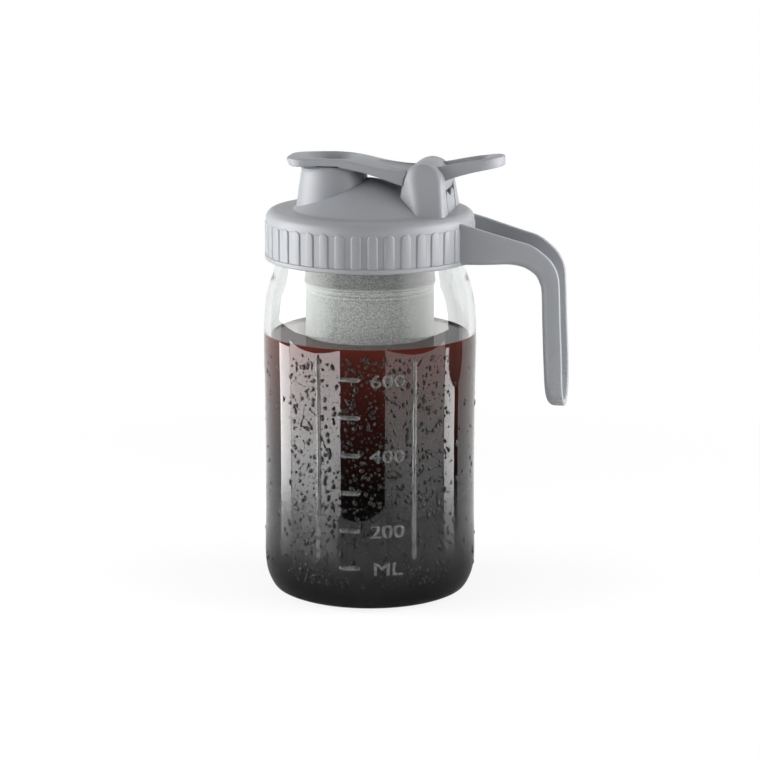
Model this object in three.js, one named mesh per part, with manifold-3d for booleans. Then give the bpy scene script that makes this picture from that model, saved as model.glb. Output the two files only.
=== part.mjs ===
// Cold brew coffee maker: a wide-mouth glass jar with a screw-on pitcher lid and a hanging mesh filter.
// Millimetres, +Z up. The spout points to -X, the handle to +X, and the jar stands on z = 0.
// The origin lies under the middle of the whole outline, so the jar's own axis is off to -X.

import * as THREE from 'three';
import { mergeGeometries, mergeVertices } from 'three/addons/utils/BufferGeometryUtils.js';
import Module from 'manifold-3d';

const wasm = await Module();
wasm.setup();

// Glass jar
const jarHeight = 163.3;
const jarRadius = 46.8;
const jarWaist = 0.5;
const jarWall = 3;
const jarFloor = 4.5;
const baseCorner = 11;
const restingRingWidth = 5.5;
const pushUpDepth = 3;
const bodyHeight = 113;
const neckHeight = 15.3;
const neckWall = 2.8;
const mouthRadius = 38.4;
const rimRound = 1;
const markHeight = 0.5;
const markWidth = 1.5;
const scaleFoot = 20.7;
const scaleStep = 16.6;
const scaleMarks = 6;
const scaleMarkLength = 9.3;
const panelFacing = THREE.MathUtils.degToRad(8.4);
const panelHalfAngle = THREE.MathUtils.degToRad(26.4);
const scaleAngle = THREE.MathUtils.degToRad(-0.5);
const panelFoot = 24;
const panelTopGap = 1;
// Shares of the way from the body to the neck that shape the shoulder's curve
const shoulderShares = { straight: 0.54, turn: 0.77, reach: 0.25 };

// Screw thread between the jar's neck and the collar
const threadPitch = 5.08;
const threadTurns = 1.25;
const threadWidth = 2.2;
const jarThreadDepth = 1.6;
const collarThreadDepth = 0.8;
const threadCrestGap = 0.3;
const threadSink = 0.75;
const threadRimGap = 3.05;
// Shares of a ridge's length over which it grows, and of its depth where it starts
const threadEndShares = { length: 0.125, depth: 0.1 };

// Filter
const filterMeshRadius = 28.2;
const filterMeshWall = 0.5;
const filterBottom = 13;
const filterBandWall = 0.5;
const filterBandHeight = 25;
const filterBaseWall = 0.6;
const filterBaseSkirt = 6;
const filterFlangeThickness = 0.7;
const filterSleeveWall = 0.6;
const filterSleeveHeight = 8;
const filterSealOverhang = 1.2;
const filterSealWall = 1.2;
const filterSealLip = 0.9;
const filterSealWidth = 3.5;

// Lid gasket
const gasketThickness = 1.5;
const gasketWidth = 5.2;
const gasketEdgeGap = 0.9;

// Screw collar
const collarHeight = 21.8;
const collarWall = 1.5;
const collarTopPlate = 2.2;
const collarLedge = 0.56;
const collarShoulder = 3.6;
const collarBandHeight = 2;
const ribCount = 40;
const ribWidth = 4.4;
const ribRaise = 0.7;
const ribHeight = 15.6;

// Lid dome
const domeRadius = 33.76;
const domeHeight = 13.6;
const domeWall = 2.2;
// Shares of the dome's radius and height where its curve bends most
const domeBendShares = { radius: 0.36, height: 0.9 };

// Pour spout
const spoutOffset = 16;
const spoutHeight = 19.1;
const spoutRadius = 14.35;
const spoutWall = 1.75;
const spoutDraft = THREE.MathUtils.degToRad(7.6);
const spoutBevel = 0.7;

// Hinge bracket and hinge
const hingeReach = 25.6;
const hingeHeight = 12.5;
const hingeRadius = 9.3;
const earOuter = 15;
const earThickness = 3.8;
const earFrontFoot = 10;
const earBackFoot = 11;
const wallThickness = 1.3;
const wallHeight = 8.6;
const wallNotch = 1.6;
const pinRadius = 2.5;
const pinClearance = 0.1;
const pinReach = 1.7;
const barrelFlat = 3.1;

// Flip cap
const capTipReach = 36;
const capHalfWidth = 14.25;
const capTipRound = 5;
const capThickness = 3;
const capRootThickness = 5.8;
const capRise = 22.5;
const capRootDrop = 4.4;
const capCrown = 1.8;
const capTipCrown = 0.5;
const capNeckReach = 15.3;
// Share of the cap's length where its top edge starts to fall, and how sharply it falls
const capFallShare = 0.38;
const capFallPower = 1.4;
const wellRadius = 11.75;
const wellDraft = 3.2;
const plugDepth = 5.4;
const plugRadius = 12;
const plugDraft = 0.4;
const plugFloor = 1.5;
const dishLength = 31;
const dishWidth = 22.5;
const dishDepth = 1.7;
const dishReach = 17;
// The dish's depth as a share of the height of the ball that cuts it
const dishDepthShare = 1 / 3;

// Carry loop
const loopReach = 60.2;
const loopHalfWidth = 10;
const loopWallSide = 3;
const loopWallTip = 4.2;
const loopRootThickness = 6.4;
const loopTipThickness = 3.6;
const loopTipRise = 24.6;
const loopRootRise = 19.4;

// Spout seal on the plug
const sealHeight = 1.6;
const sealSection = 0.7;
const sealDrop = 0.9;

// Pour handle
const handleReach = 86.8;
const handleRootHalfWidth = 17.5;
const handleGripHalfWidth = 13.5;
const handleRootLap = 4.4;
const handleRootDrop = 2.6;
const handleDrop = 62.8;
const gripDepth = 7.6;
const gripLean = 1.9;
const handleWeb = 2.5;
const handleSide = 2.8;
const underBend = 10.5;
const outerBend = 15;
const slopeDrop = 12.2;
const noseRound = 4;
// Shares of the slope: where it bends, how far down it is there, and how far down it ends
const slopeShares = { bend: 0.4, bendDrop: 0.5, endDrop: 0.8 };

// Gap between pieces that sit on or in each other
const fit = 0.3;
// How far a cutter runs past what it cuts
const overrun = 1;
// Corners closer than this are one corner
const weld = 1e-4;
// Steps round a full turn, and along a curve or a corner of a profile
const turnSteps = 40;
const curveSteps = 7;
const cornerSteps = 5;
const roundSteps = 2;
const curveSegments = 9;

// Radii, heights and places worked out from the sizes above
const jarWaistRadius = jarRadius - jarWaist;
const neckRadius = mouthRadius + neckWall;
const neckFoot = jarHeight - neckHeight;
const jarThreadFoot = jarHeight - threadRimGap - threadTurns * threadPitch;
const collarThreadFoot = jarThreadFoot - threadPitch / 2;
const collarBore = neckRadius + jarThreadDepth + threadCrestGap + collarThreadDepth;
const collarRadius = collarBore + collarWall;
const gasketOuter = collarBore - gasketEdgeGap;
const filterSealRadius = neckRadius + filterSealOverhang;
const filterFlangeRadius = filterSealRadius - filterSealWall - fit;
const sealFoot = jarHeight + fit;
const sealHeightOuter = filterFlangeThickness + 2 * fit + 2 * filterSealLip;
const gasketFoot = sealFoot + sealHeightOuter + fit;
const lidTop = gasketFoot + gasketThickness + fit + collarTopPlate;
const collarFoot = lidTop - collarHeight;
const flangeFoot = sealFoot + filterSealLip + fit;
const spoutTop = lidTop + spoutHeight;
const hingeZ = lidTop + hingeHeight;
const handleBottom = collarFoot - handleDrop;
const handleRootReach = collarRadius - handleRootLap;
const earInner = earOuter - earThickness;
const barrelHalf = earInner - fit;
const jarAxisX = -(handleReach - jarRadius) / 2;
const X = new THREE.Vector3(1, 0, 0);
const Y = new THREE.Vector3(0, 1, 0);
const Z = new THREE.Vector3(0, 0, 1);

// Finishes
const glass = { color: 0xdfe8e4, roughness: 0.05, metalness: 0, transparent: true, opacity: 0.35 };
const plastic = { color: 0x8d8f93, roughness: 0.45, metalness: 0 };
const steelMesh = { color: 0xa9aba7, roughness: 0.5, metalness: 0.8 };
const steel = { color: 0xc3c4c2, roughness: 0.3, metalness: 0.9 };
const silicone = { color: 0xe4e4e0, roughness: 0.7, metalness: 0 };

// Turns a closed mesh into a solid that can be joined and cut.
function solidOf(geometry) {
  const bare = geometry.index ? geometry.toNonIndexed() : geometry.clone();
  bare.deleteAttribute('normal');
  bare.deleteAttribute('uv');
  const merged = mergeVertices(bare, weld);
  const vertProperties = Float32Array.from(merged.attributes.position.array);
  const triVerts = Uint32Array.from(merged.index.array);
  return new wasm.Manifold(new wasm.Mesh({ numProp: 3, vertProperties, triVerts }));
}

// Turns a joined or cut solid back into a mesh.
function geometryOf(solid) {
  const mesh = solid.getMesh();
  const geometry = new THREE.BufferGeometry();
  geometry.setAttribute('position', new THREE.Float32BufferAttribute(mesh.vertProperties, mesh.numProp));
  geometry.setIndex(Array.from(mesh.triVerts));
  geometry.computeVertexNormals();
  return geometry;
}

// A ring or disc turned about Z from a profile of [radius, height] pairs, anticlockwise.
function turned(profile, steps = turnSteps) {
  const points = profile.map(([radius, height]) => new THREE.Vector2(radius, height));
  const onAxis = points[0].x === 0 && points.at(-1).x === 0;
  if (!onAxis) points.push(points[0].clone());
  return new THREE.LatheGeometry(points, steps).rotateX(Math.PI / 2);
}

function extruded(shape, depth) {
  return new THREE.ExtrudeGeometry(shape, { depth, bevelEnabled: false, curveSegments });
}

// A shape drawn in X and Z, as thick in Y as given, middle on Y = 0.
function acrossY(shape, thickness) {
  const geometry = extruded(shape, thickness);
  const stand = new THREE.Matrix4().makeBasis(X, Z, Y.clone().negate());
  return geometry.applyMatrix4(stand).translate(0, thickness / 2, 0);
}

// A shape drawn in Y and Z, running along X from one place to another.
function alongX(shape, from, to) {
  const lie = new THREE.Matrix4().makeBasis(Y, Z, X);
  return extruded(shape, to - from).applyMatrix4(lie).translate(from, 0, 0);
}

// A shape drawn in X and Y, running up Z from one height to another.
function alongZ(shape, from, to) {
  return extruded(shape, to - from).translate(0, 0, from);
}

function polygon(points) {
  return new THREE.Shape(points.map(([a, b]) => new THREE.Vector2(a, b)));
}

// A plain cylinder or cone on Z.
function cone(bottomRadius, topRadius, from, to) {
  return turned([[0, from], [bottomRadius, from], [topRadius, to], [0, to]]);
}

// Points on a round stretch of a profile.
function arc(centreR, centreZ, radius, fromDegrees, toDegrees, steps) {
  const points = [];
  for (let step = 0; step <= steps; step += 1) {
    const angle = THREE.MathUtils.degToRad(fromDegrees + ((toDegrees - fromDegrees) * step) / steps);
    points.push([centreR + radius * Math.cos(angle), centreZ + radius * Math.sin(angle)]);
  }
  return points;
}

// One helical ridge with tapered ends. Its root is sunk into the wall that carries it.
function threadRidge(wallRadius, depth, foot) {
  const steps = Math.round(threadTurns * turnSteps);
  const outward = Math.sign(depth);
  const positions = [];
  for (let step = 0; step <= steps; step += 1) {
    const share = step / steps;
    const fromEnd = Math.min(share, 1 - share) / threadEndShares.length;
    const fade = Math.min(1, fromEnd + threadEndShares.depth);
    const angle = share * threadTurns * 2 * Math.PI;
    const height = foot + share * threadTurns * threadPitch;
    const root = wallRadius - outward * threadSink;
    const crest = wallRadius + depth * fade;
    const half = (threadWidth / 2) * fade;
    const section = [[root, -half], [crest, -half / 2], [crest, half / 2], [root, half]];
    const ring = outward > 0 ? section : section.reverse();
    for (const [radius, offset] of ring) {
      positions.push(radius * Math.cos(angle), radius * Math.sin(angle), height + offset);
    }
  }
  const index = [];
  for (let step = 0; step < steps; step += 1) {
    for (let side = 0; side < 4; side += 1) {
      const a = 4 * step + side;
      const b = 4 * step + ((side + 1) % 4);
      index.push(a, a + 4, b, b, a + 4, b + 4);
    }
  }
  const last = 4 * steps;
  index.push(0, 1, 2, 0, 2, 3, last, last + 2, last + 1, last, last + 3, last + 2);
  const geometry = new THREE.BufferGeometry();
  geometry.setAttribute('position', new THREE.Float32BufferAttribute(positions, 3));
  geometry.setIndex(index);
  return geometry;
}

// A raised mark on the jar's wall, given by its angle from -Y towards +X.
function raisedMark(angle, width, foot, top) {
  const depth = markHeight + jarWall / 2;
  const mark = new THREE.BoxGeometry(width, depth, top - foot);
  mark.translate(0, -(jarWaistRadius + markHeight - depth / 2), (foot + top) / 2);
  return mark.rotateZ(angle);
}

// The jar's shoulder as profile points, from the body's radius up to the neck's.
function jarShoulder(bodyRadius, topRadius) {
  const rise = neckFoot - bodyHeight;
  const curve = new THREE.CubicBezierCurve(
    new THREE.Vector2(bodyRadius, bodyHeight),
    new THREE.Vector2(bodyRadius, bodyHeight + shoulderShares.straight * rise),
    new THREE.Vector2(
      topRadius + shoulderShares.reach * (bodyRadius - topRadius),
      bodyHeight + shoulderShares.turn * rise,
    ),
    new THREE.Vector2(topRadius, neckFoot),
  );
  return curve.getPoints(curveSteps).map((point) => [point.x, point.y]);
}

function glassJar() {
  const cornerR = jarRadius - baseCorner;
  const innerR = jarRadius - jarWall;
  const innerCorner = baseCorner - jarWall;
  const floorZ = pushUpDepth + jarFloor;
  const ringInner = cornerR - restingRingWidth;
  const waistZ = (baseCorner + bodyHeight) / 2;
  const profile = [
    [0, pushUpDepth],
    [ringInner - restingRingWidth, pushUpDepth],
    [ringInner, 0],
    ...arc(cornerR, baseCorner, baseCorner, -90, 0, cornerSteps),
    [jarWaistRadius, waistZ],
    ...jarShoulder(jarRadius, neckRadius),
    ...arc(neckRadius - rimRound, jarHeight - rimRound, rimRound, 0, 90, roundSteps),
    ...arc(mouthRadius + rimRound, jarHeight - rimRound, rimRound, 90, 180, roundSteps),
    ...jarShoulder(innerR, mouthRadius).reverse(),
    [jarWaistRadius - jarWall, waistZ],
    ...arc(innerR - innerCorner, floorZ + innerCorner, innerCorner, 0, -90, cornerSteps),
    [0, floorZ],
  ];
  const marks = [];
  const panelTop = bodyHeight - panelTopGap;
  for (const side of [-1, 1]) {
    marks.push(raisedMark(panelFacing + side * panelHalfAngle, markWidth, panelFoot, panelTop));
  }
  for (let mark = 0; mark < scaleMarks; mark += 1) {
    const height = scaleFoot + mark * scaleStep;
    marks.push(raisedMark(scaleAngle, scaleMarkLength, height, height + markWidth));
  }
  return geometryOf(
    solidOf(turned(profile))
      .add(solidOf(threadRidge(neckRadius, jarThreadDepth, jarThreadFoot)))
      .add(solidOf(mergeGeometries(marks))),
  );
}

function filterMesh() {
  const inner = filterMeshRadius - filterMeshWall;
  const foot = filterBottom + filterBaseWall + fit;
  const top = flangeFoot - fit;
  return turned([[inner, foot], [filterMeshRadius, foot], [filterMeshRadius, top], [inner, top]]);
}

function filterBand() {
  const inner = filterMeshRadius + fit;
  const outer = inner + filterBandWall;
  const top = flangeFoot - fit;
  const foot = top - filterBandHeight;
  return turned([[inner, foot], [outer, foot], [outer, top], [inner, top]]);
}

// A pressed cup that closes the tube and laps its outside.
function filterBase() {
  const inner = filterMeshRadius + fit;
  const outer = inner + filterBaseWall;
  const floor = filterBottom + filterBaseWall;
  const top = floor + filterBaseSkirt;
  return turned([
    [0, filterBottom], [inner, filterBottom], [outer, floor], [outer, top],
    [inner, top], [inner, floor], [0, floor],
  ]);
}

// The flange that hangs the filter, with a sleeve round the top of the band.
function filterRim() {
  const inner = filterMeshRadius - filterMeshWall;
  const sleeveInner = filterMeshRadius + fit + filterBandWall + fit;
  const sleeveOuter = sleeveInner + filterSleeveWall;
  const top = flangeFoot + filterFlangeThickness;
  const foot = flangeFoot - filterSleeveHeight;
  return turned([
    [inner, flangeFoot], [sleeveInner, flangeFoot], [sleeveInner, foot], [sleeveOuter, foot],
    [sleeveOuter, flangeFoot], [filterFlangeRadius, flangeFoot], [filterFlangeRadius, top], [inner, top],
  ]);
}

// A channel-section ring that grips the flange's edge.
function filterSeal() {
  const inner = filterSealRadius - filterSealWidth;
  const slot = filterFlangeRadius + fit;
  const top = sealFoot + sealHeightOuter;
  const slotFoot = sealFoot + filterSealLip;
  const slotTop = top - filterSealLip;
  return turned([
    [inner, sealFoot], [filterSealRadius, sealFoot], [filterSealRadius, top], [inner, top],
    [inner, slotTop], [slot, slotTop], [slot, slotFoot], [inner, slotFoot],
  ]);
}

function lidGasket() {
  const inner = gasketOuter - gasketWidth;
  const top = gasketFoot + gasketThickness;
  return turned([[inner, gasketFoot], [gasketOuter, gasketFoot], [gasketOuter, top], [inner, top]]);
}

// One grip rib with a round top, standing proud of the collar.
function gripRib(angle) {
  const depth = ribRaise + overrun;
  const half = ribWidth / 2;
  const foot = collarFoot + collarBandHeight / 2;
  const top = collarFoot + ribHeight;
  const shape = new THREE.Shape().moveTo(-half, foot).lineTo(half, foot).lineTo(half, top - half);
  shape.absarc(0, top - half, half, 0, Math.PI, false);
  const rib = new THREE.ExtrudeGeometry(shape, { depth, bevelEnabled: false, curveSegments: roundSteps });
  rib.applyMatrix4(new THREE.Matrix4().makeBasis(Y, Z, X)).translate(collarRadius - overrun, 0, 0);
  return rib.rotateZ(angle);
}

function screwCollar() {
  const bandRadius = collarRadius + ribRaise;
  const bandTop = collarFoot + collarBandHeight;
  const ceiling = lidTop - collarTopPlate;
  const opening = domeRadius - domeWall - collarLedge;
  const profile = [
    [collarBore, collarFoot],
    [bandRadius, collarFoot],
    [bandRadius, bandTop],
    [collarRadius, bandTop],
    ...arc(collarRadius - collarShoulder, lidTop - collarShoulder, collarShoulder, 0, 90, cornerSteps),
    [opening, lidTop],
    [opening, ceiling],
    [collarBore, ceiling],
  ];
  const ribs = [];
  for (let rib = 0; rib < ribCount; rib += 1) {
    ribs.push(gripRib(((rib + 0.5) * 2 * Math.PI) / ribCount));
  }
  return geometryOf(
    solidOf(turned(profile, ribCount))
      .add(solidOf(mergeGeometries(ribs)))
      .add(solidOf(threadRidge(collarBore, -collarThreadDepth, collarThreadFoot))),
  );
}

// The dome's curve as profile points from its foot to the axis, grown where a neighbour has to clear it.
function domeCurve(grow, radius, height) {
  const bendR = domeBendShares.radius * radius + grow;
  const bendZ = lidTop + domeBendShares.height * height + grow;
  const curve = new THREE.QuadraticBezierCurve(
    new THREE.Vector2(radius + grow, lidTop),
    new THREE.Vector2(bendR, bendZ),
    new THREE.Vector2(0, lidTop + height + grow),
  );
  return curve.getPoints(curveSteps).map((point) => [point.x, point.y]);
}

// The dome as a filled body, for cutting what stands on it.
function domeClearance() {
  const foot = lidTop - overrun;
  return solidOf(turned([[0, foot], [domeRadius + fit, foot], ...domeCurve(fit, domeRadius, domeHeight)]));
}

function spoutBore(height) {
  return spoutRadius - spoutWall + (spoutTop - height) * Math.tan(spoutDraft);
}

function lidDome() {
  const inner = domeCurve(0, domeRadius - domeWall, domeHeight - domeWall).reverse();
  const outer = domeCurve(0, domeRadius, domeHeight);
  const holeRadius = spoutBore(lidTop + domeHeight);
  const hole = cone(holeRadius, holeRadius, lidTop - overrun, spoutTop).translate(-spoutOffset, 0, 0);
  return geometryOf(solidOf(turned([...inner, ...outer])).subtract(solidOf(hole)));
}

function pourSpout() {
  const drop = spoutHeight * Math.tan(spoutDraft);
  const lip = spoutTop - spoutBevel;
  const bore = spoutRadius - spoutWall;
  const profile = [
    [bore + drop, lidTop],
    [spoutRadius + drop, lidTop],
    [spoutRadius, lip],
    [spoutRadius - spoutBevel, spoutTop],
    [bore, spoutTop],
  ];
  const tube = turned(profile).translate(-spoutOffset, 0, 0);
  return geometryOf(solidOf(tube).subtract(domeClearance()));
}

// Side outline of one ear: a leaning front edge, a round top and a leaning back edge.
function earOutline() {
  const shape = new THREE.Shape();
  shape.moveTo(hingeReach - earFrontFoot, lidTop).lineTo(hingeReach - hingeRadius, hingeZ);
  shape.absarc(hingeReach, hingeZ, hingeRadius, Math.PI, 0, true);
  shape.lineTo(hingeReach + earBackFoot, lidTop);
  return shape;
}

// A round bar on the hinge's axis, as long on each side of Y = 0 as given.
function rod(radius, half) {
  return new THREE.CylinderGeometry(radius, radius, 2 * half, turnSteps).translate(hingeReach, 0, hingeZ);
}

function hingeBracket() {
  const outline = earOutline();
  let bracket = null;
  for (const side of [-1, 1]) {
    const ear = acrossY(outline, earThickness).translate(0, side * (earOuter - earThickness / 2), 0);
    const hole = rod(pinRadius + pinClearance, pinReach + fit).translate(0, side * earInner, 0);
    const drilled = solidOf(ear).subtract(solidOf(hole));
    bracket = bracket ? bracket.add(drilled) : drilled;
  }
  const wallTop = lidTop + wallHeight;
  const wallShape = polygon([
    [-earInner - overrun, lidTop],
    [earInner + overrun, lidTop],
    [earInner + overrun, wallTop],
    [0, wallTop - wallNotch],
    [-earInner - overrun, wallTop],
  ]);
  const wallBack = hingeReach + earBackFoot;
  const wall = alongX(wallShape, wallBack - wallThickness, wallBack);
  return geometryOf(bracket.add(solidOf(wall)).subtract(domeClearance()));
}

// Height of the cap's top edge above the lid's top, along its length from the tip.
function capEdgeHeight(x) {
  const share = (x + capTipReach) / (capNeckReach + capTipReach);
  const fall = Math.max(0, share - capFallShare) / (1 - capFallShare);
  return lidTop + capRise - capRootDrop * fall ** capFallPower;
}

// The cap's plate: crowned on top, flat below, and drawn in to a rounded tip.
function capPlate() {
  const stations = 14;
  const crossSteps = 6;
  const tipCrowding = 1.5;
  const positions = [];
  for (let station = 0; station <= stations; station += 1) {
    const share = station / stations;
    const x = -capTipReach + (capNeckReach + capTipReach) * share ** tipCrowding;
    const fromTip = Math.min(1, (x + capTipReach) / capTipRound);
    const corner = capTipRound * (1 - Math.sqrt(1 - (1 - fromTip) ** 2));
    const half = capHalfWidth - corner;
    const thickness = capThickness + (capRootThickness - capThickness) * share;
    const crown = capTipCrown + (capCrown - capTipCrown) * share;
    const edge = capEdgeHeight(x);
    for (let step = 0; step <= crossSteps; step += 1) {
      const across = (2 * step) / crossSteps - 1;
      positions.push(x, half * across, edge + crown * (1 - across ** 2));
    }
    positions.push(x, half, edge - thickness, x, -half, edge - thickness);
  }
  return solidOf(loft(positions, stations, crossSteps + 3));
}

// Skins a row of like sections, each a closed ring of points, and caps both ends.
function loft(positions, stations, ringSize) {
  const index = [];
  for (let station = 0; station < stations; station += 1) {
    for (let point = 0; point < ringSize; point += 1) {
      const a = station * ringSize + point;
      const b = station * ringSize + ((point + 1) % ringSize);
      index.push(a, a + ringSize, b, b, a + ringSize, b + ringSize);
    }
  }
  const last = stations * ringSize;
  for (let point = 1; point < ringSize - 1; point += 1) {
    index.push(0, point, point + 1, last, last + point + 1, last + point);
  }
  const geometry = new THREE.BufferGeometry();
  geometry.setAttribute('position', new THREE.Float32BufferAttribute(positions, 3));
  geometry.setIndex(index);
  return geometry;
}

function capBarrel() {
  const below = new THREE.BoxGeometry(2 * (hingeRadius + overrun), 2 * earOuter, hingeRadius);
  below.translate(hingeReach, 0, hingeZ - barrelFlat - hingeRadius / 2);
  return solidOf(rod(hingeRadius, barrelHalf))
    .subtract(solidOf(below))
    .add(solidOf(rod(pinRadius, earInner + pinReach)));
}

function flipCap() {
  const rootTop = capEdgeHeight(capNeckReach);
  const neckLength = hingeReach - capNeckReach + overrun;
  const neck = new THREE.BoxGeometry(neckLength, 2 * barrelHalf, capRootThickness - overrun);
  neck.translate(hingeReach - neckLength / 2, 0, rootTop - (capRootThickness + overrun) / 2);

  const seat = spoutTop + fit;
  const pocket = cone(spoutRadius + 2 * fit, spoutRadius + 2 * fit, lidTop, seat);
  const plug = cone(plugRadius - plugDraft, plugRadius, spoutTop - plugDepth, seat + overrun);
  const wellTop = lidTop + capRise + capCrown;
  const wellFloor = spoutTop - plugDepth + plugFloor;
  const well = cone(wellRadius - wellDraft, wellRadius, wellFloor, wellTop);
  const grooveTop = spoutTop - sealDrop + fit;
  const grooveFoot = grooveTop - sealHeight - 2 * fit;
  const grooveInner = plugRadius - plugDraft - sealSection - fit;
  const groove = turned([
    [grooveInner, grooveFoot], [spoutRadius, grooveFoot], [spoutRadius, grooveTop], [grooveInner, grooveTop],
  ]);
  for (const cutter of [pocket, plug, well, groove]) cutter.translate(-spoutOffset, 0, 0);

  // A flattened ball whose outline at the cap's surface is the dish's
  const ballHeight = dishDepth / dishDepthShare;
  const outlineShare = Math.sqrt(1 - (1 - dishDepthShare) ** 2);
  const dish = new THREE.SphereGeometry(1, turnSteps / 2, turnSteps / 4);
  dish.scale(dishLength / 2 / outlineShare, dishWidth / 2 / outlineShare, ballHeight);
  dish.translate(dishReach, 0, rootTop + capCrown + ballHeight - dishDepth);

  return geometryOf(
    capPlate()
      .add(solidOf(neck))
      .subtract(solidOf(dish))
      .add(capBarrel())
      .subtract(solidOf(pocket))
      .add(solidOf(plug))
      .subtract(solidOf(well))
      .subtract(solidOf(groove)),
  );
}

// A long loop that rises from the barrel to its tip and gets thinner on the way. The barrel closes it.
function carryLoop() {
  const rootX = hingeReach + hingeRadius / 2;
  const shape = loopOutline(rootX, loopReach, loopHalfWidth);
  shape.holes.push(loopOutline(rootX + loopWallSide, loopReach - loopWallTip, loopHalfWidth - loopWallSide));
  const ring = alongZ(shape, hingeZ - hingeRadius, hingeZ + 2 * hingeRadius);
  const side = polygon([
    [rootX, lidTop + loopRootRise - loopRootThickness],
    [loopReach, lidTop + loopTipRise - loopTipThickness],
    [loopReach, lidTop + loopTipRise],
    [rootX, lidTop + loopRootRise],
  ]);
  return geometryOf(
    solidOf(ring)
      .intersect(solidOf(acrossY(side, 2 * (loopHalfWidth + overrun))))
      .subtract(solidOf(rod(hingeRadius + fit, earOuter))),
  );
}

// Straight legs and a half-round tip.
function loopOutline(rootX, tipX, halfWidth) {
  const shape = new THREE.Shape();
  shape.moveTo(rootX, -halfWidth).lineTo(tipX - halfWidth, -halfWidth);
  shape.absarc(tipX - halfWidth, 0, halfWidth, -Math.PI / 2, Math.PI / 2, false);
  shape.lineTo(rootX, halfWidth);
  return shape;
}

function spoutSeal() {
  const outer = plugRadius;
  const inner = outer - plugDraft - sealSection;
  const top = spoutTop - sealDrop;
  const foot = top - sealHeight;
  return turned([[inner, foot], [outer, foot], [outer, top], [inner, top]]).translate(-spoutOffset, 0, 0);
}

// Side outline of the handle's strap, its lower edge raised where the channel is cut.
function handleOutline(web, open) {
  const under = collarFoot + web;
  const gripFoot = handleReach - gripDepth + web;
  const gripTop = gripFoot - gripLean;
  const outerX = handleReach + open;
  const shoulderX = outerX - gripLean;
  const bottom = handleBottom - open;
  const bend = underBend + web;
  const rootTop = lidTop - handleRootDrop + open;
  const shape = new THREE.Shape();
  shape.moveTo(handleRootReach - open, under);
  shape.lineTo(gripTop - bend, under);
  shape.quadraticCurveTo(gripTop, under, gripTop, under - bend);
  shape.lineTo(gripFoot, bottom + noseRound);
  shape.quadraticCurveTo(gripFoot, bottom, gripFoot + noseRound, bottom);
  shape.lineTo(outerX, bottom);
  shape.lineTo(shoulderX, rootTop - slopeDrop - outerBend);
  const slopeEnd = rootTop - slopeShares.endDrop * slopeDrop;
  const bendX = handleRootReach + slopeShares.bend * (shoulderX - handleRootReach);
  shape.quadraticCurveTo(shoulderX, rootTop - slopeDrop, shoulderX - outerBend, slopeEnd);
  shape.lineTo(bendX, rootTop - slopeShares.bendDrop * slopeDrop);
  shape.lineTo(handleRootReach - open, rootTop);
  return shape;
}

// The strap's outline seen from the end: straight sides and a half-round lower end.
function handleEnd(halfWidth, wide, bottom) {
  const shape = new THREE.Shape();
  const wideFoot = collarFoot - underBend;
  shape.absarc(0, bottom + halfWidth, halfWidth, Math.PI, 2 * Math.PI, false);
  shape.lineTo(halfWidth, wideFoot).lineTo(wide, wideFoot).lineTo(wide, lidTop + overrun);
  shape.lineTo(-wide, lidTop + overrun).lineTo(-wide, wideFoot).lineTo(-halfWidth, wideFoot);
  return shape;
}

// The strap's outline from above: wide at the collar, narrow at the grip.
function handlePlan(rootHalf, gripHalf) {
  const gripX = handleReach - gripDepth - gripLean;
  const far = handleReach + overrun;
  return polygon([
    [0, -rootHalf], [handleRootReach, -rootHalf], [gripX, -gripHalf], [far, -gripHalf],
    [far, gripHalf], [gripX, gripHalf], [handleRootReach, rootHalf], [0, rootHalf],
  ]);
}

// The strap or its channel: what three outlines have in common.
function handleBlock(outline, inset) {
  const rootHalf = handleRootHalfWidth - inset;
  const gripHalf = handleGripHalfWidth - inset;
  const end = handleEnd(gripHalf, rootHalf, handleBottom + inset);
  return solidOf(acrossY(outline, 2 * (handleRootHalfWidth + overrun)))
    .intersect(solidOf(alongX(end, 0, handleReach + 2 * overrun)))
    .intersect(solidOf(alongZ(handlePlan(rootHalf, gripHalf), 0, lidTop + overrun)));
}

function pourHandle() {
  const strap = handleBlock(handleOutline(0, 0), 0);
  const channel = handleBlock(handleOutline(handleWeb, overrun), handleSide);
  const collarSpace = collarRadius + ribRaise + fit;
  const collar = cone(collarSpace, collarSpace, 0, lidTop + overrun);
  return geometryOf(strap.subtract(channel).subtract(solidOf(collar)));
}

function piece(name, geometry, finish) {
  const mesh = new THREE.Mesh(geometry, new THREE.MeshStandardMaterial(finish));
  mesh.name = name;
  return mesh;
}

const jar = new THREE.Group();
jar.add(piece('glass_jar', glassJar(), glass));

const filter = new THREE.Group();
filter.add(
  piece('filter_mesh', filterMesh(), steelMesh),
  piece('filter_band', filterBand(), steelMesh),
  piece('filter_base', filterBase(), steel),
  piece('filter_rim', filterRim(), steel),
  piece('filter_seal', filterSeal(), silicone),
);

const lid = new THREE.Group();
lid.add(
  piece('lid_gasket', lidGasket(), silicone),
  piece('screw_collar', screwCollar(), plastic),
  piece('lid_dome', lidDome(), plastic),
  piece('pour_spout', pourSpout(), plastic),
  piece('hinge_bracket', hingeBracket(), plastic),
  piece('pour_handle', pourHandle(), plastic),
);

const cap = new THREE.Group();
cap.add(
  piece('flip_cap', flipCap(), plastic),
  piece('carry_loop', carryLoop(), plastic),
  piece('spout_seal', spoutSeal(), silicone),
);

const coffeeMaker = new THREE.Group();
coffeeMaker.add(jar, filter, lid, cap);
coffeeMaker.position.set(jarAxisX, 0, 0);

export default coffeeMaker;
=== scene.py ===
import math

import bmesh
import bpy
from mathutils import Matrix, Vector


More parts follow.
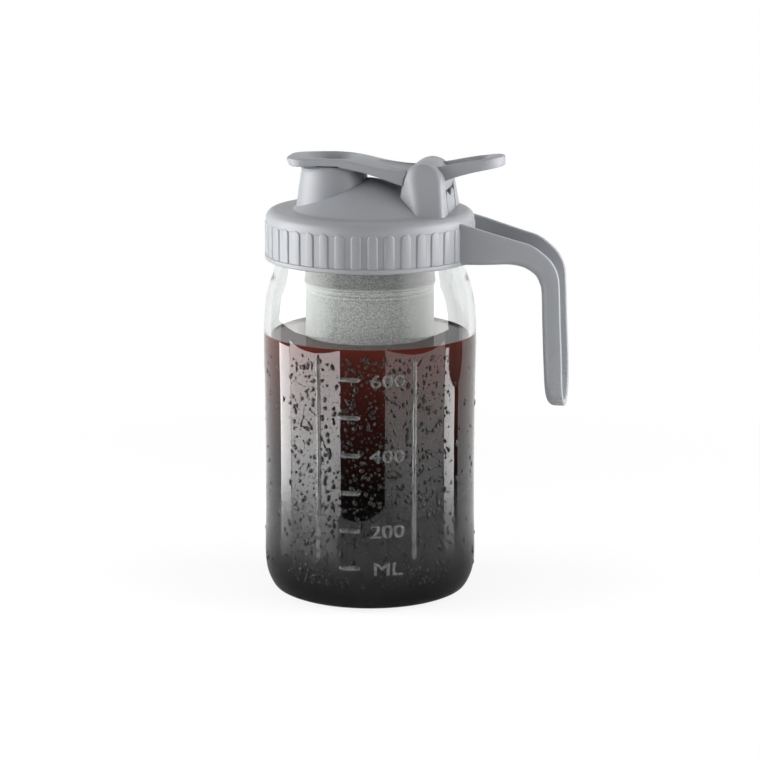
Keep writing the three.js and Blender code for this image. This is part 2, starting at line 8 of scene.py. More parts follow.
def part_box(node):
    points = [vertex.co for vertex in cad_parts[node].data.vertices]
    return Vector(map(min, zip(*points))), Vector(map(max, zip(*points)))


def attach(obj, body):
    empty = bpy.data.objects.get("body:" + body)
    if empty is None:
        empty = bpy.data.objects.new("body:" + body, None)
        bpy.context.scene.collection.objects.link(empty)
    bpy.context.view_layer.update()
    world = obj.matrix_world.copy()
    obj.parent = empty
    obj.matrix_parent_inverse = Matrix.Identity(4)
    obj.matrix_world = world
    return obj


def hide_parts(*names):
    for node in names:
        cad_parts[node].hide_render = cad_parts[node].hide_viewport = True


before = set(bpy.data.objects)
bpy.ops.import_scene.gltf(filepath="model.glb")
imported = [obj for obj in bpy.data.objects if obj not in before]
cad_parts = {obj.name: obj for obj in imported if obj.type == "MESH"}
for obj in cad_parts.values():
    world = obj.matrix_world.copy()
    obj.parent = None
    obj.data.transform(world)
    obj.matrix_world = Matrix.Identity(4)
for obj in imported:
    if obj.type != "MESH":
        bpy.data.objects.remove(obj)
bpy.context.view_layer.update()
scene = bpy.context.scene

# The studio: a pale floor in white surroundings, and tall soft boxes left and right of the camera.
# The camera stands 1.3 m from the jar's axis, a little above the lid and towards the handle.
# All pieces are drawn about the jar's axis and moved to it at the end.
jar_low, jar_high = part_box("glass_jar")
jar_x = (jar_low.x + jar_high.x) / 2
frame_px = 760
aim_px = (370, 411.6)
metres_per_px = 0.0004433
camera_turn = math.radians(10.5)
camera_rise = math.radians(12.48)
camera_distance = 1.3
aim_height = 0.08
box_distance = 0.45
gap_angles = (-31, 15.5)
shine_boxes = [
    ("left_box", -92.5, gap_angles[0], 6.8), ("left_strip", -110.5, -92.5, 8.8),
    ("right_box", gap_angles[1], 85, 1.9), ("right_strip", 85, 101, 6.6),
]
shine_low = -0.3
shine_high = 0.042
shine_fade = (-0.085, -0.03)
shine_least = 0.4
lamp_boxes = [("left_lamp", -112, -38, 7.6), ("right_lamp", 32, 105, 7.2)]
lamp_low = 0.075
lamp_high = 0.46
lamp_dim_share = 0.5
lamp_full_share = -0.1
side_angle = 112
room_light = 0.3
front_light = 0.02
floor_size = 4
floor_colour = (0.86, 0.86, 0.86, 1)
floor_white_share = 0.8
floor_fade = (0.08, 0.4)
painted_shadow_radii = (0.04, 0.16)
painted_shadow_levels = (0.25, 0.8)
table_radius = (0.11, 0.26)
table_edge = 0.2135
table_edge_angle = -13.7


def add(tree, kind, inputs=None, **settings):
    """A node of that kind, with its settings made and its inputs set or linked."""
    made = tree.nodes.new(kind)
    for name, value in settings.items():
        setattr(made, name, value)
    for name, value in (inputs or {}).items():
        if isinstance(value, bpy.types.NodeSocket):
            tree.links.new(value, made.inputs[name])
        else:
            made.inputs[name].default_value = value
    return made


def maths(tree, operation, a, b=0.0):
    """The result of one sum on two numbers."""
    return add(tree, "ShaderNodeMath", {0: a, 1: b}, operation=operation).outputs[0]


def vectors(tree, operation, a, b=(0, 0, 0)):
    """The result of one sum on two vectors."""
    result = "Value" if operation in ("DOT_PRODUCT", "DISTANCE") else "Vector"
    return add(tree, "ShaderNodeVectorMath", {0: a, 1: b}, operation=operation).outputs[result]


def ranged(tree, value, low, high, least=0.0, most=1.0):
    """A number carried from one range to another, and held at its ends."""
    return add(tree, "ShaderNodeMapRange", {"Value": value, 1: low, 2: high, 3: least, 4: most}).outputs[0]


def blended(tree, share, a, b):
    """A number between a and b."""
    return add(tree, "ShaderNodeMix", {0: share, 2: a, 3: b}, data_type="FLOAT").outputs[0]


def blended_colour(tree, share, a, b):
    """A colour between a and b."""
    return add(tree, "ShaderNodeMix", {0: share, 6: a, 7: b}, data_type="RGBA").outputs[2]


def new_finish(name):
    """An empty material and its tree."""
    made = bpy.data.materials.new(name)
    made.use_nodes = True
    made.node_tree.nodes.clear()
    return made, made.node_tree


def on_piece(tree):
    """Where a point lies on its piece."""
    return add(tree, "ShaderNodeTexCoord").outputs["Object"]


def put(name, data):
    """A new object in the scene."""
    made = bpy.data.objects.new(name, data)
    scene.collection.objects.link(made)
    return made


def level_way(degrees):
    """A level direction, counted from the camera's way towards the right."""
    turn = camera_turn + math.radians(degrees)
    return Vector((math.sin(turn), -math.cos(turn), 0))


camera_way = level_way(0)
aim = Vector((jar_x, 0, aim_height))
back = camera_way * math.cos(camera_rise) + Vector((0, 0, math.sin(camera_rise)))
lens = bpy.data.cameras.new("camera")
lens.lens = lens.sensor_width * camera_distance / (frame_px * metres_per_px)
lens.shift_x = (frame_px / 2 - aim_px[0]) / frame_px
lens.shift_y = (aim_px[1] - frame_px / 2) / frame_px
camera = put("camera", lens)
camera.location = aim + back * camera_distance
camera.rotation_euler = (-back).to_track_quat("-Z", "Y").to_euler()
scene.camera = camera
scene.view_settings.view_transform = "Standard"


def soft_box(name, from_degrees, to_degrees, low, high, radiance):
    """An upright soft box that fills these angles, counted from the camera's way towards the right."""
    half = math.radians((to_degrees - from_degrees) / 2)
    light = bpy.data.lights.new(name, "AREA")
    light.shape = "RECTANGLE"
    light.size = 2 * box_distance * math.tan(half)
    light.size_y = high - low
    light.energy = radiance * math.pi * light.size * light.size_y
    lamp = put(name, light)
    way = level_way((from_degrees + to_degrees) / 2)
    lamp.location = Vector((jar_x, 0, (low + high) / 2)) + way * box_distance
    lamp.rotation_euler = (-way).to_track_quat("-Z", "Y").to_euler()
    lamp.visible_camera = False
    lamp.visible_transmission = False
    return lamp


def dimmed(lamp, way, dim, full, least):
    """Makes a soft box grow dim along a direction, between these two distances from the origin."""
    lamp.data.use_nodes = True
    tree = lamp.data.node_tree
    tree.nodes.clear()
    spot = add(tree, "ShaderNodeNewGeometry").outputs["Position"]
    level = vectors(tree, "DOT_PRODUCT", spot, way)
    glow = add(tree, "ShaderNodeEmission", {"Strength": ranged(tree, level, dim, full, least)})
    add(tree, "ShaderNodeOutputLight", {"Surface": glow.outputs[0]})


for name, start, end, radiance in shine_boxes:
    lamp = soft_box(name, start, end, shine_low, shine_high, radiance)
    lamp.visible_diffuse = False
    dimmed(lamp, (0, 0, 1), *shine_fade, shine_least)
for name, start, end, radiance in lamp_boxes:
    lamp = soft_box(name, start, end, lamp_low, lamp_high, radiance)
    way = level_way((start + end) / 2 + 90) * (1 if end < 0 else -1)
    dim, full = (way.x * jar_x + lamp.data.size * share for share in (lamp_dim_share, lamp_full_share))
    dimmed(lamp, way, dim, full, 0.0)

world = bpy.data.worlds.new("studio")
scene.world = world
world.use_nodes = True
tree = world.node_tree
tree.nodes.clear()
path = add(tree, "ShaderNodeLightPath").outputs
way_seen = add(tree, "ShaderNodeTexCoord").outputs["Generated"]
facing = vectors(tree, "DOT_PRODUCT", way_seen, camera_way)
in_front = maths(tree, "GREATER_THAN", facing, math.cos(math.radians(side_angle)))
shine_light = blended(tree, in_front, 1.0, front_light)
unseen_light = blended(tree, path["Is Glossy Ray"], room_light, shine_light)
seen = maths(tree, "MAXIMUM", path["Is Camera Ray"], path["Is Transmission Ray"])
strength = blended(tree, seen, unseen_light, 1.0)
sky = add(tree, "ShaderNodeBackground", {"Color": (1, 1, 1, 1), "Strength": strength})
add(tree, "ShaderNodeOutputWorld", {"Surface": sky.outputs[0]})

paint, tree = new_finish("floor_paint")
path = add(tree, "ShaderNodeLightPath").outputs
place = on_piece(tree)
from_jar = vectors(tree, "DISTANCE", place, (jar_x, 0, 0))
spot = vectors(tree, "SUBTRACT", place, (jar_x, 0, 0))
along_gap = vectors(tree, "DOT_PRODUCT", vectors(tree, "NORMALIZE", spot), level_way(sum(gap_angles) / 2))
half_gap = math.radians((gap_angles[1] - gap_angles[0]) / 2)
in_gap = maths(tree, "GREATER_THAN", along_gap, math.cos(half_gap))
to_edge = vectors(tree, "DOT_PRODUCT", spot, level_way(table_edge_angle))
past_edge = maths(tree, "GREATER_THAN", to_edge, table_edge)
past_table = blended(tree, in_gap, ranged(tree, from_jar, *table_radius), past_edge)
# For glossy rays the floor's colour darkens towards the jar: a painted shadow of the jar, seen in its
# reflections on the glass and plastic.
painted_shadow = ranged(tree, from_jar, *painted_shadow_radii, *painted_shadow_levels)
less = blended(tree, path["Is Glossy Ray"], 1.0, painted_shadow)
paler = blended_colour(tree, less, (0, 0, 0, 1), floor_colour)
matt = add(tree, "ShaderNodeBsdfDiffuse", {"Color": paler})
white = add(tree, "ShaderNodeEmission", {"Strength": 1.0})
clear = add(tree, "ShaderNodeBsdfTransparent")
seen = maths(tree, "MAXIMUM", path["Is Camera Ray"], path["Is Transmission Ray"])
seen = maths(tree, "MULTIPLY", seen, ranged(tree, from_jar, *floor_fade, floor_white_share, 1.0))
lit = add(tree, "ShaderNodeMixShader", {0: seen, 1: matt.outputs[0], 2: white.outputs[0]})
no_shine = maths(tree, "MULTIPLY", path["Is Glossy Ray"], past_table)
ground = add(tree, "ShaderNodeMixShader", {0: no_shine, 1: lit.outputs[0], 2: clear.outputs[0]})
add(tree, "ShaderNodeOutputMaterial", {"Surface": ground.outputs[0]})

half = floor_size / 2
floor_corners = [(-half, -half, 0), (half, -half, 0), (half, half, 0), (-half, half, 0)]
floor_mesh = bpy.data.meshes.new("floor")
floor_mesh.from_pydata(floor_corners, [], [(0, 1, 2, 3)])
floor_mesh.materials.append(paint)
floor = put("floor", floor_mesh)

# Glass jar: clear pressed glass, about 3 mm thick, with a wide mouth and a pushed-up base.
# It comes out of a mould, so its corners are round and its body is a little waisted.
turn_steps = 160
jar_height = jar_high.z
jar_radius = (jar_high.x - jar_low.x) / 2
jar_waist = 0.0005
mouth_radius = 0.0384
neck_radius = 0.0412
waist_height = 0.0655
panel_half_height = 0.047
jar_outside = [
    (0.0395, 0.0008), (0.0426, 0.0025), (0.045, 0.0068), (0.0463, 0.0117), (0.0467, 0.0186),
    (0.0464, 0.036), (0.0463, waist_height), (0.0465, 0.092), (0.0468, 0.113), (0.0462, 0.127),
    (0.0446, 0.1365), (0.0424, 0.143), (0.0414, 0.1475), (neck_radius, 0.151),
]
jar_inside = [
    (mouth_radius, 0.149), (0.0387, 0.1455), (0.0402, 0.1405), (0.0422, 0.1338), (0.0434, 0.125),
    (0.0438, 0.113), (0.0434, 0.09), (0.0433, waist_height), (0.0436, 0.036), (0.0439, 0.019),
    (0.0438, 0.0138), (0.0431, 0.009), (0.0412, 0.0051), (0.0382, 0.0029), (0.0352, 0.0026),
    (0.031, 0.0033), (0.024, 0.0047), (0.012, 0.0055),
]
base_under = [(0, 0.003), (0.018, 0.0028), (0.028, 0.0016), (0.0335, 0.0003), (0.0368, 0)]
base_inside = 0.0057
rim_round = 0.001
rim_foot = 0.16
rim_points = 12
merge_gap = 1e-7
glass_ior = 1.5
ripple_scale = 55.0
ripple_stretch = (1, 1, 0.35)
ripple_height = 0.00003
glass_tint = (0.972, 0.982, 0.978, 1)
glass_shade = (0.9, 0.94, 0.92, 1)
edge_tint = (0.56, 0.61, 0.59, 1)


def smooth_through(points, steps=6):
    """Points on a smooth curve through the given ones."""
    ends = [points[0], *points, points[-1]]
    made = []
    for a, b, c, d in zip(ends, ends[1:], ends[2:], ends[3:]):
        a, b, c, d = Vector(a), Vector(b), Vector(c), Vector(d)
        for step in range(steps):
            t = step / steps
            bend = (2 * a - 5 * b + 4 * c - d) * t + (3 * b - a - 3 * c + d) * t * t
            made.append(tuple(b + (c - a + bend) * t / 2))
    return [*made, tuple(points[-1])]


def filleted(points, steps=5):
    """A closed outline. Each corner is rounded by the radius that its point may give as a third number."""
    made = []
    for before, point, after in zip([points[-1], *points], points, [*points[1:], points[0]]):
        here = Vector(point[:2])
        if len(point) < 3:
            made.append(tuple(here))
            continue
        back = (Vector(before[:2]) - here).normalized()
        on = (Vector(after[:2]) - here).normalized()
        half = back.angle(on) / 2
        reach = point[2] / math.tan(half)
        middle = here + (back + on).normalized() * point[2] / math.sin(half)
        start = here + back * reach - middle
        sweep = math.copysign(math.pi - 2 * half, start.cross(here + on * reach - middle))
        for step in range(steps + 1):
            made.append(tuple(middle + Matrix.Rotation(sweep * step / steps, 2) @ start))
    return made


def mesh_of(bm, name):
    """A plain mesh with its doubles merged and its faces out."""
    bmesh.ops.remove_doubles(bm, verts=bm.verts, dist=merge_gap)
    bmesh.ops.dissolve_degenerate(bm, edges=bm.edges, dist=merge_gap / 10)
    bmesh.ops.recalc_face_normals(bm, faces=bm.faces)
    mesh = bpy.data.meshes.new(name)
    bm.to_mesh(mesh)
    bm.free()
    return mesh


def turned(name, profile, steps=turn_steps):
    """A closed body turned about the upright axis. Its profile closes on itself or on the axis."""
    bm = bmesh.new()
    rings = []
    for radius, height in profile:
        angles = [2 * math.pi * step / steps for step in range(steps)] if radius > 1e-6 else [0]
        rings.append([bm.verts.new((radius * math.cos(a), radius * math.sin(a), height)) for a in angles])
    if len(rings[0]) > 1 or len(rings[-1]) > 1:
        rings.append(rings[0])
    for low, high in zip(rings, rings[1:]):
        for step in range(steps):
            there = (step + 1) % steps
            corners = [low[step % len(low)], low[there % len(low)]]
            corners += [high[there % len(high)], high[step % len(high)]]
            corners = list(dict.fromkeys(corners))
            if len(corners) > 2:
                bm.faces.new(corners)
    return mesh_of(bm, name)


def shown(name, mesh, finish, body, sharp=35):
    """Puts a mesh that is drawn about the jar's axis into the scene, as a piece that rides on a body."""
    mesh.transform(Matrix.Translation((jar_x, 0, 0)))
    mesh.materials.clear()
    mesh.materials.append(finish)
    mesh.shade_smooth()
    mesh.set_sharp_from_angle(angle=math.radians(sharp))
    made = put(name, mesh)
    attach(made, body)
    return made


def uneven(tree, height):
    """The turned normals of a surface with this height, in metres."""
    return add(tree, "ShaderNodeBump", {"Strength": 1.0, "Distance": 1.0, "Height": height}).outputs[0]


def noise(tree, place, scale, detail):
    """A cloudy pattern, between 0 and 1."""
    return add(tree, "ShaderNodeTexNoise", {"Vector": place, "Scale": scale, "Detail": detail}).outputs[0]


def clear_finish(name, tint, shade, ior, roughness, height, clearness=1.0):
    """A clear finish that lets the lamps through. Its height nodes make the surface uneven."""
    made, tree = new_finish(name)
    edge = maths(tree, "POWER", add(tree, "ShaderNodeLayerWeight", {"Blend": 0.5}).outputs["Facing"], 2.0)
    clear = add(tree, "ShaderNodeBsdfPrincipled", {
        "Base Color": blended_colour(tree, edge, tint, edge_tint), "Roughness": roughness, "IOR": ior,
        "Transmission Weight": clearness, "Normal": uneven(tree, height(tree)),
    })
    through = add(tree, "ShaderNodeBsdfTransparent", {"Color": shade})
    lamp_ray = add(tree, "ShaderNodeLightPath").outputs["Is Shadow Ray"]
    both = add(tree, "ShaderNodeMixShader", {0: lamp_ray, 1: clear.outputs[0], 2: through.outputs[0]})
    add(tree, "ShaderNodeOutputMaterial", {"Surface": both.outputs[0]})
    return made


def glass_ripple(tree):
    """Slow waves that pressed glass keeps from its mould, as a height in metres."""
    stretched = add(tree, "ShaderNodeMapping", {"Vector": on_piece(tree), "Scale": ripple_stretch})
    return maths(tree, "MULTIPLY", noise(tree, stretched.outputs[0], ripple_scale, 1.0), ripple_height)


glass = clear_finish("clear_glass", glass_tint, glass_shade, glass_ior, 0.0, glass_ripple)
rim = [(neck_radius, jar_height, rim_round), (mouth_radius, jar_height, rim_round)]
rim += [(mouth_radius, rim_foot), (neck_radius, rim_foot)]
profile = [*base_under, *smooth_through(jar_outside), *filleted(rim)[:rim_points]]
profile += [*smooth_through(jar_inside), (0, base_inside)]
jar = shown("jar_glass", turned("jar_glass", profile), glass, "jar")
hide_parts("glass_jar")

# Jar thread: a round ridge of one and a quarter turns, pressed in one with the neck.
# It runs out at both ends, under the collar.
thread_pitch = 0.00508
thread_turns = 1.25
thread_foot = 0.1550
thread_depth = 0.0015
thread_half = 0.0012
thread_sink = 0.0002
thread_steps = 96
thread_sides = 14
thread_end_share = 0.07
thread_least_share = 0.05


def growing(name, sizes):
    """A Geometry Nodes tree that takes a mesh and named sizes, and the outputs that give them."""
    tree = bpy.data.node_groups.new(name, "GeometryNodeTree")
    tree.interface.new_socket("Geometry", in_out="INPUT", socket_type="NodeSocketGeometry")
    for size, kind in sizes.items():
        tree.interface.new_socket(size, in_out="INPUT", socket_type=kind)
    tree.interface.new_socket("Geometry", in_out="OUTPUT", socket_type="NodeSocketGeometry")
    return tree, add(tree, "NodeGroupInput").outputs


def finish_tree(tree, shape, finish):
    """Ends a tree in one plain mesh with its finish."""
    plain = add(tree, "GeometryNodeRealizeInstances", {0: shape})
    dressed = add(tree, "GeometryNodeSetMaterial", {"Geometry": plain.outputs[0], "Material": finish})
    add(tree, "NodeGroupOutput", {0: dressed.outputs[0]})


def as_mesh(bearer):
    """The plain mesh that an object makes once its modifiers are applied. The object itself goes."""
    made = bpy.data.meshes.new_from_object(bearer.evaluated_get(bpy.context.evaluated_depsgraph_get()))
    bpy.data.objects.remove(bearer)
    return made


def grown(tree, mesh, values):
    """The plain mesh that a tree makes from a mesh and these sizes."""
    bearer = put(tree.name, mesh)
    growth = bearer.modifiers.new("growth", "NODES")
    growth.node_group = tree
    for socket in tree.interface.items_tree:
        if socket.in_out == "INPUT" and socket.name in values:
            growth[socket.identifier] = values[socket.name]
    return as_mesh(bearer)


def joined(name, meshes):
    """One mesh of several."""
    bm = bmesh.new()
    for mesh in meshes:
        bm.from_mesh(mesh)
    made = bpy.data.meshes.new(name)
    bm.to_mesh(made)
    bm.free()
    return made


def moved(mesh, x=0.0, y=0.0, z=0.0):
    """The same mesh in another place."""
    mesh.transform(Matrix.Translation((x, y, z)))
    return mesh


thread_sizes = ["Turns", "Radius", "Rise", "Depth", "Half width"]
coil, given = growing("screw_thread", dict.fromkeys(thread_sizes, "NodeSocketFloat"))
spiral = add(coil, "GeometryNodeCurveSpiral", {
    "Resolution": thread_steps, "Rotations": given["Turns"], "Start Radius": given["Radius"],
    "End Radius": given["Radius"], "Height": given["Rise"],
})
upright = add(coil, "GeometryNodeSetCurveNormal", {"Curve": spiral.outputs[0]}, mode="Z_UP")
along = add(coil, "GeometryNodeSplineParameter").outputs["Factor"]
from_end = maths(coil, "MINIMUM", along, maths(coil, "SUBTRACT", 1.0, along))
swell = ranged(coil, from_end, 0.0, thread_end_share, thread_least_share, 1.0)
tapered = add(coil, "GeometryNodeSetCurveRadius", {"Curve": upright.outputs[0], "Radius": swell})
round_line = add(coil, "GeometryNodeCurvePrimitiveCircle", {"Resolution": thread_sides, "Radius": 1.0})
across = add(coil, "ShaderNodeCombineXYZ", {"X": given["Half width"], "Y": given["Depth"], "Z": 1.0})
section = add(coil, "GeometryNodeTransform", {
    "Geometry": round_line.outputs[0], "Scale": across.outputs[0],
})
ridge = add(coil, "GeometryNodeCurveToMesh", {
    "Curve": tapered.outputs[0], "Profile Curve": section.outputs[0], "Fill Caps": True,
})
finish_tree(coil, ridge.outputs[0], glass)


def ridge_at(radius, foot, depth, half_width):
    """A ridge of the thread's turns at this radius, from this height."""
    return moved(grown(coil, bpy.data.meshes.new("none"), {
        "Turns": thread_turns, "Radius": radius, "Rise": thread_pitch * thread_turns,
        "Depth": depth, "Half width": half_width,
    }), z=foot)


ridge = ridge_at(neck_radius - thread_sink, thread_foot, thread_depth, thread_half)
shown("jar_thread", ridge, glass, "jar")

# Level marks: two upright ribs, six dashes, three numbers and the unit, raised from the jar's side.
# They are pressed in one with the jar, on the side that is seen with the handle on the right.
mark_proud = 0.001
mark_sink = 0.0004
mark_steps = 24
panel_turn = math.radians(8.35)
rib_turns = (-26.35, 26.35)
side_rib_size = (0.0021, 0.088)
side_rib_middle = 0.068
dash_turn = -8.85
dash_size = (0.0093, 0.0021)
dash_count = 6
dash_low = 0.0207
dash_high = 0.1038
number_turn = 11.45
number_size = 0.0081
number_stretch = 1.25
number_rows = [("600", 0.1006), ("400", 0.0676), ("200", 0.0344), ("ML", 0.0178)]
letter_edge = 0.00038
letter_thinning = -0.00026
mark_painted_sheen = (0.62, 0.62, 0.62, 1)
mark_roughness = 0.04
mark_clearness = 0.93


def lofted(name, rings, closed=False, capped=(True, True)):
    """A closed body through rings of as many points each. Its ends may be closed by flat faces."""
    bm = bmesh.new()
    made = [[bm.verts.new(point) for point in ring] for ring in rings]
    if closed:
        made.append(made[0])
    for one, two in zip(made, made[1:]):
        for here in range(len(one)):
            there = (here + 1) % len(one)
            bm.faces.new((one[here], one[there], two[there], two[here]))
    if capped[0] and not closed:
        bm.faces.new(made[0])
    if capped[1] and not closed:
        bm.faces.new(made[-1])
    return mesh_of(bm, name)


def bar(name, width, height):
    """A flat bar with round ends and a rounded top, standing on the plane of the wall."""
    radius = min(width, height) / 2
    reach = (width / 2 - radius, height / 2 - radius)
    rings = []
    for proud, share in [(-mark_sink, 1), (0.0, 1), (0.45, 0.86), (0.8, 0.58), (1.0, 0.2)]:
        depth = proud if proud < 0 else proud * mark_proud
        ring = []
        for step in range(mark_steps):
            angle = 2 * math.pi * (step + 0.5) / mark_steps
            across = math.copysign(reach[0], math.cos(angle)) + radius * share * math.cos(angle)
            up = math.copysign(reach[1], math.sin(angle)) + radius * share * math.sin(angle)
            ring.append((across, up, depth))
        rings.append(ring)
    return lofted(name, rings)


wrap_sizes = ["Spacing", "Foot", "Turn", "Waist", "Waist height", "Swell"]
wrap, given = growing("marks_round_the_wall", {
    "Count": "NodeSocketInt", **dict.fromkeys(wrap_sizes, "NodeSocketFloat"),
})
step_up = add(wrap, "ShaderNodeCombineXYZ", {"Y": given["Spacing"]})
start = add(wrap, "ShaderNodeCombineXYZ", {"Y": given["Foot"]})
rungs = add(wrap, "GeometryNodeMeshLine", {
    "Count": given["Count"], "Start Location": start.outputs[0], "Offset": step_up.outputs[0],
})
flat = add(wrap, "GeometryNodeInstanceOnPoints", {
    "Points": rungs.outputs[0], "Instance": given["Geometry"],
})
loose = add(wrap, "GeometryNodeRealizeInstances", {0: flat.outputs[0]})
cut_up = add(wrap, "GeometryNodeSubdivideMesh", {"Mesh": loose.outputs[0], "Level": 1})
spot = add(wrap, "GeometryNodeInputPosition").outputs[0]
spot = add(wrap, "ShaderNodeSeparateXYZ", {0: spot}).outputs
from_waist = maths(wrap, "ABSOLUTE", maths(wrap, "SUBTRACT", spot["Y"], given["Waist height"]))
bulge = maths(wrap, "MULTIPLY", maths(wrap, "POWER", from_waist, 2.0), given["Swell"])
wall = maths(wrap, "ADD", given["Waist"], bulge)
angle = maths(wrap, "ADD", maths(wrap, "DIVIDE", spot["X"], given["Waist"]), given["Turn"])
radius = maths(wrap, "ADD", wall, spot["Z"])
forwards = maths(wrap, "MULTIPLY", maths(wrap, "COSINE", angle), -1.0)
bent = add(wrap, "ShaderNodeCombineXYZ", {
    "X": maths(wrap, "MULTIPLY", radius, maths(wrap, "SINE", angle)),
    "Y": maths(wrap, "MULTIPLY", radius, forwards), "Z": spot["Y"],
})
wrapped = add(wrap, "GeometryNodeSetPosition", {"Geometry": cut_up.outputs[0], "Position": bent.outputs[0]})
finish_tree(wrap, wrapped.outputs[0], glass)


def marks(mesh, turn, foot, count=1, spacing=0.0):
    """Flat marks bent round the jar's side, at this turn from the middle of the panel."""
    return grown(wrap, mesh, {
        "Count": count, "Spacing": spacing, "Foot": foot, "Turn": panel_turn + math.radians(turn),
        "Waist": jar_radius - jar_waist, "Waist height": waist_height,
        "Swell": jar_waist / panel_half_height ** 2,
    })


def lettering(words):
    """Upright raised lettering, in metres, centred across."""
    curve = bpy.data.curves.new("lettering", "FONT")
    curve.body = words
    curve.size = number_size
    curve.align_x = "CENTER"
    curve.extrude = mark_sink
    curve.bevel_depth = letter_edge
    curve.bevel_resolution = 3
    curve.resolution_u = 5
    curve.offset = letter_thinning
    bm = bmesh.new()
    bm.from_mesh(as_mesh(put("lettering", curve)))
    made = mesh_of(bm, "lettering")
    made.transform(Matrix.Diagonal((number_stretch, 1, 1, 1)))
    return made


# The marks' glass is grey and a little less clear than the jar's: a painted sheen that shows the raised
# glass lighter over the drink.
mark_glass = clear_finish(
    "raised_glass", mark_painted_sheen, glass_shade, glass_ior, mark_roughness, glass_ripple,
    clearness=mark_clearness)
raised = [marks(bar("side_rib", *side_rib_size), turn, side_rib_middle) for turn in rib_turns]
spacing = (dash_high - dash_low) / (dash_count - 1)
raised.append(marks(bar("dash", *dash_size), dash_turn, dash_low, count=dash_count, spacing=spacing))
raised += [marks(lettering(words), number_turn, foot) for words, foot in number_rows]
shown("level_marks", joined("level_marks", raised), mark_glass, "jar", sharp=60)

# Cold brew: the drink in the jar, dark red at the top and nearly black lower down; the red is a painted
# glow of light shining through the drink's top.
# It stands a little over the 600 mark, creeps up the glass at its edge, and its top is a still mirror.
# It is one closed body, and the filter stands in it.
coffee_level = 0.1156
coffee_foot = 0.00565
coffee_creep = 0.0009
coffee_reach = 0.0022
coffee_lap = 0.00006
coffee_steps = 8
coffee_glow_red = (0.09, 0.018, 0.012, 1)
coffee_low_black = (0.002, 0.001, 0.001, 1)
glow_fade_heights = (0.058, 0.127)
glow_waver = 0.02
coffee_clouds = 32.0
face_clouds = 60.0
coffee_face_dark = (0.02, 0.005, 0.004, 1)
coffee_face_pale = (0.045, 0.014, 0.012, 1)
level_slack = 0.00001

drink, tree = new_finish("cold_brew")
place = on_piece(tree)
height = add(tree, "ShaderNodeSeparateXYZ", {0: place}).outputs["Z"]
cloud = noise(tree, place, coffee_clouds, 2.0)
# The red near the top is a painted glow of light shining through the drink, and the cloud makes its edge
# uneven.
glow_height = maths(tree, "ADD", height, maths(tree, "MULTIPLY", cloud, glow_waver))
share = maths(tree, "POWER", ranged(tree, glow_height, *glow_fade_heights), 2.0)
surface = add(tree, "ShaderNodeBsdfPrincipled", {
    "Base Color": blended_colour(tree, share, coffee_low_black, coffee_glow_red), "Roughness": 0.5,
    "IOR": 1.07,
})
add(tree, "ShaderNodeOutputMaterial", {"Surface": surface.outputs[0]})

drink_top, tree = new_finish("cold_brew_top")
cloud = noise(tree, on_piece(tree), face_clouds, 2.0)
surface = add(tree, "ShaderNodeBsdfPrincipled", {
    "Base Color": blended_colour(tree, cloud, coffee_face_dark, coffee_face_pale), "Roughness": 0.08,
    "IOR": 1.13,
})
add(tree, "ShaderNodeOutputMaterial", {"Surface": surface.outputs[0]})

profile = [(0, coffee_foot)]
for radius, height in reversed(smooth_through(jar_inside)):
    if height < coffee_level - 0.001:
        profile.append((radius + coffee_lap, height))
wall = next(radius for radius, height in smooth_through(jar_inside) if height < coffee_level)
for step in range(coffee_steps + 1):
    angle = math.pi / 2 * step / coffee_steps
    inward = coffee_reach * (1 - math.cos(angle)) ** 1.6
    profile.append((wall + coffee_lap - inward, coffee_level + coffee_creep * (1 - math.sin(angle))))
profile += [(radius, coffee_level) for radius in (0.036, 0.02, 0)]
coffee = shown("cold_brew", turned("cold_brew", profile), drink, "jar")
coffee.data.materials.append(drink_top)
for face in coffee.data.polygons:
    if face.center.z > coffee_level - level_slack:
        face.material_index = 1

# Condensation: beads of water on the cold glass, from dust to a few millimetres, drawn down by
# their weight. Each bead is a low dome sunk a hair into the glass. The beads lie closer together
# towards the camera of the photograph and behind than at the sides.
wet_low = 0.011
wet_high = 0.1155
wet_front = (0.63, 0.72)
wet_behind = (-0.1, -0.4)
wet_least = 0.07
bead_count = 7400
bead_spare = 1.6
bead_apart = 0.0014
bead_least = 0.0002
bead_most = 0.0012
bead_rarity = 2.1
bead_long = (0.85, 1.45)
bead_thick_share = 0.45
bead_thickest = 0.00036
bead_tilt = 0.7
bead_droop = 1.25
bead_tip = 1.02
bead_rings = [(-0.15, 1.0), (0.42, 0.86), (0.8, 0.52)]
bead_sides = 7
bead_seed = 11
water_painted_shade = (0.3, 0.3, 0.3, 1)
water_shade = (0.93, 0.93, 0.93, 1)
water_ior = 1.28
waver_scale = 700.0
waver_height = 0.00002


def water_ripple(tree):
    """The faint waver of a bead's skin, as a height in metres."""
    return maths(tree, "MULTIPLY", noise(tree, on_piece(tree), waver_scale, 1.0), waver_height)


def open_tube(bm, rings):
    """Faces between rings of as many corners each, and no ends."""
    for low, high in zip(rings, rings[1:]):
        for here in range(len(low)):
            there = (here + 1) % len(low)
            bm.faces.new((low[here], low[there], high[there], high[here]))


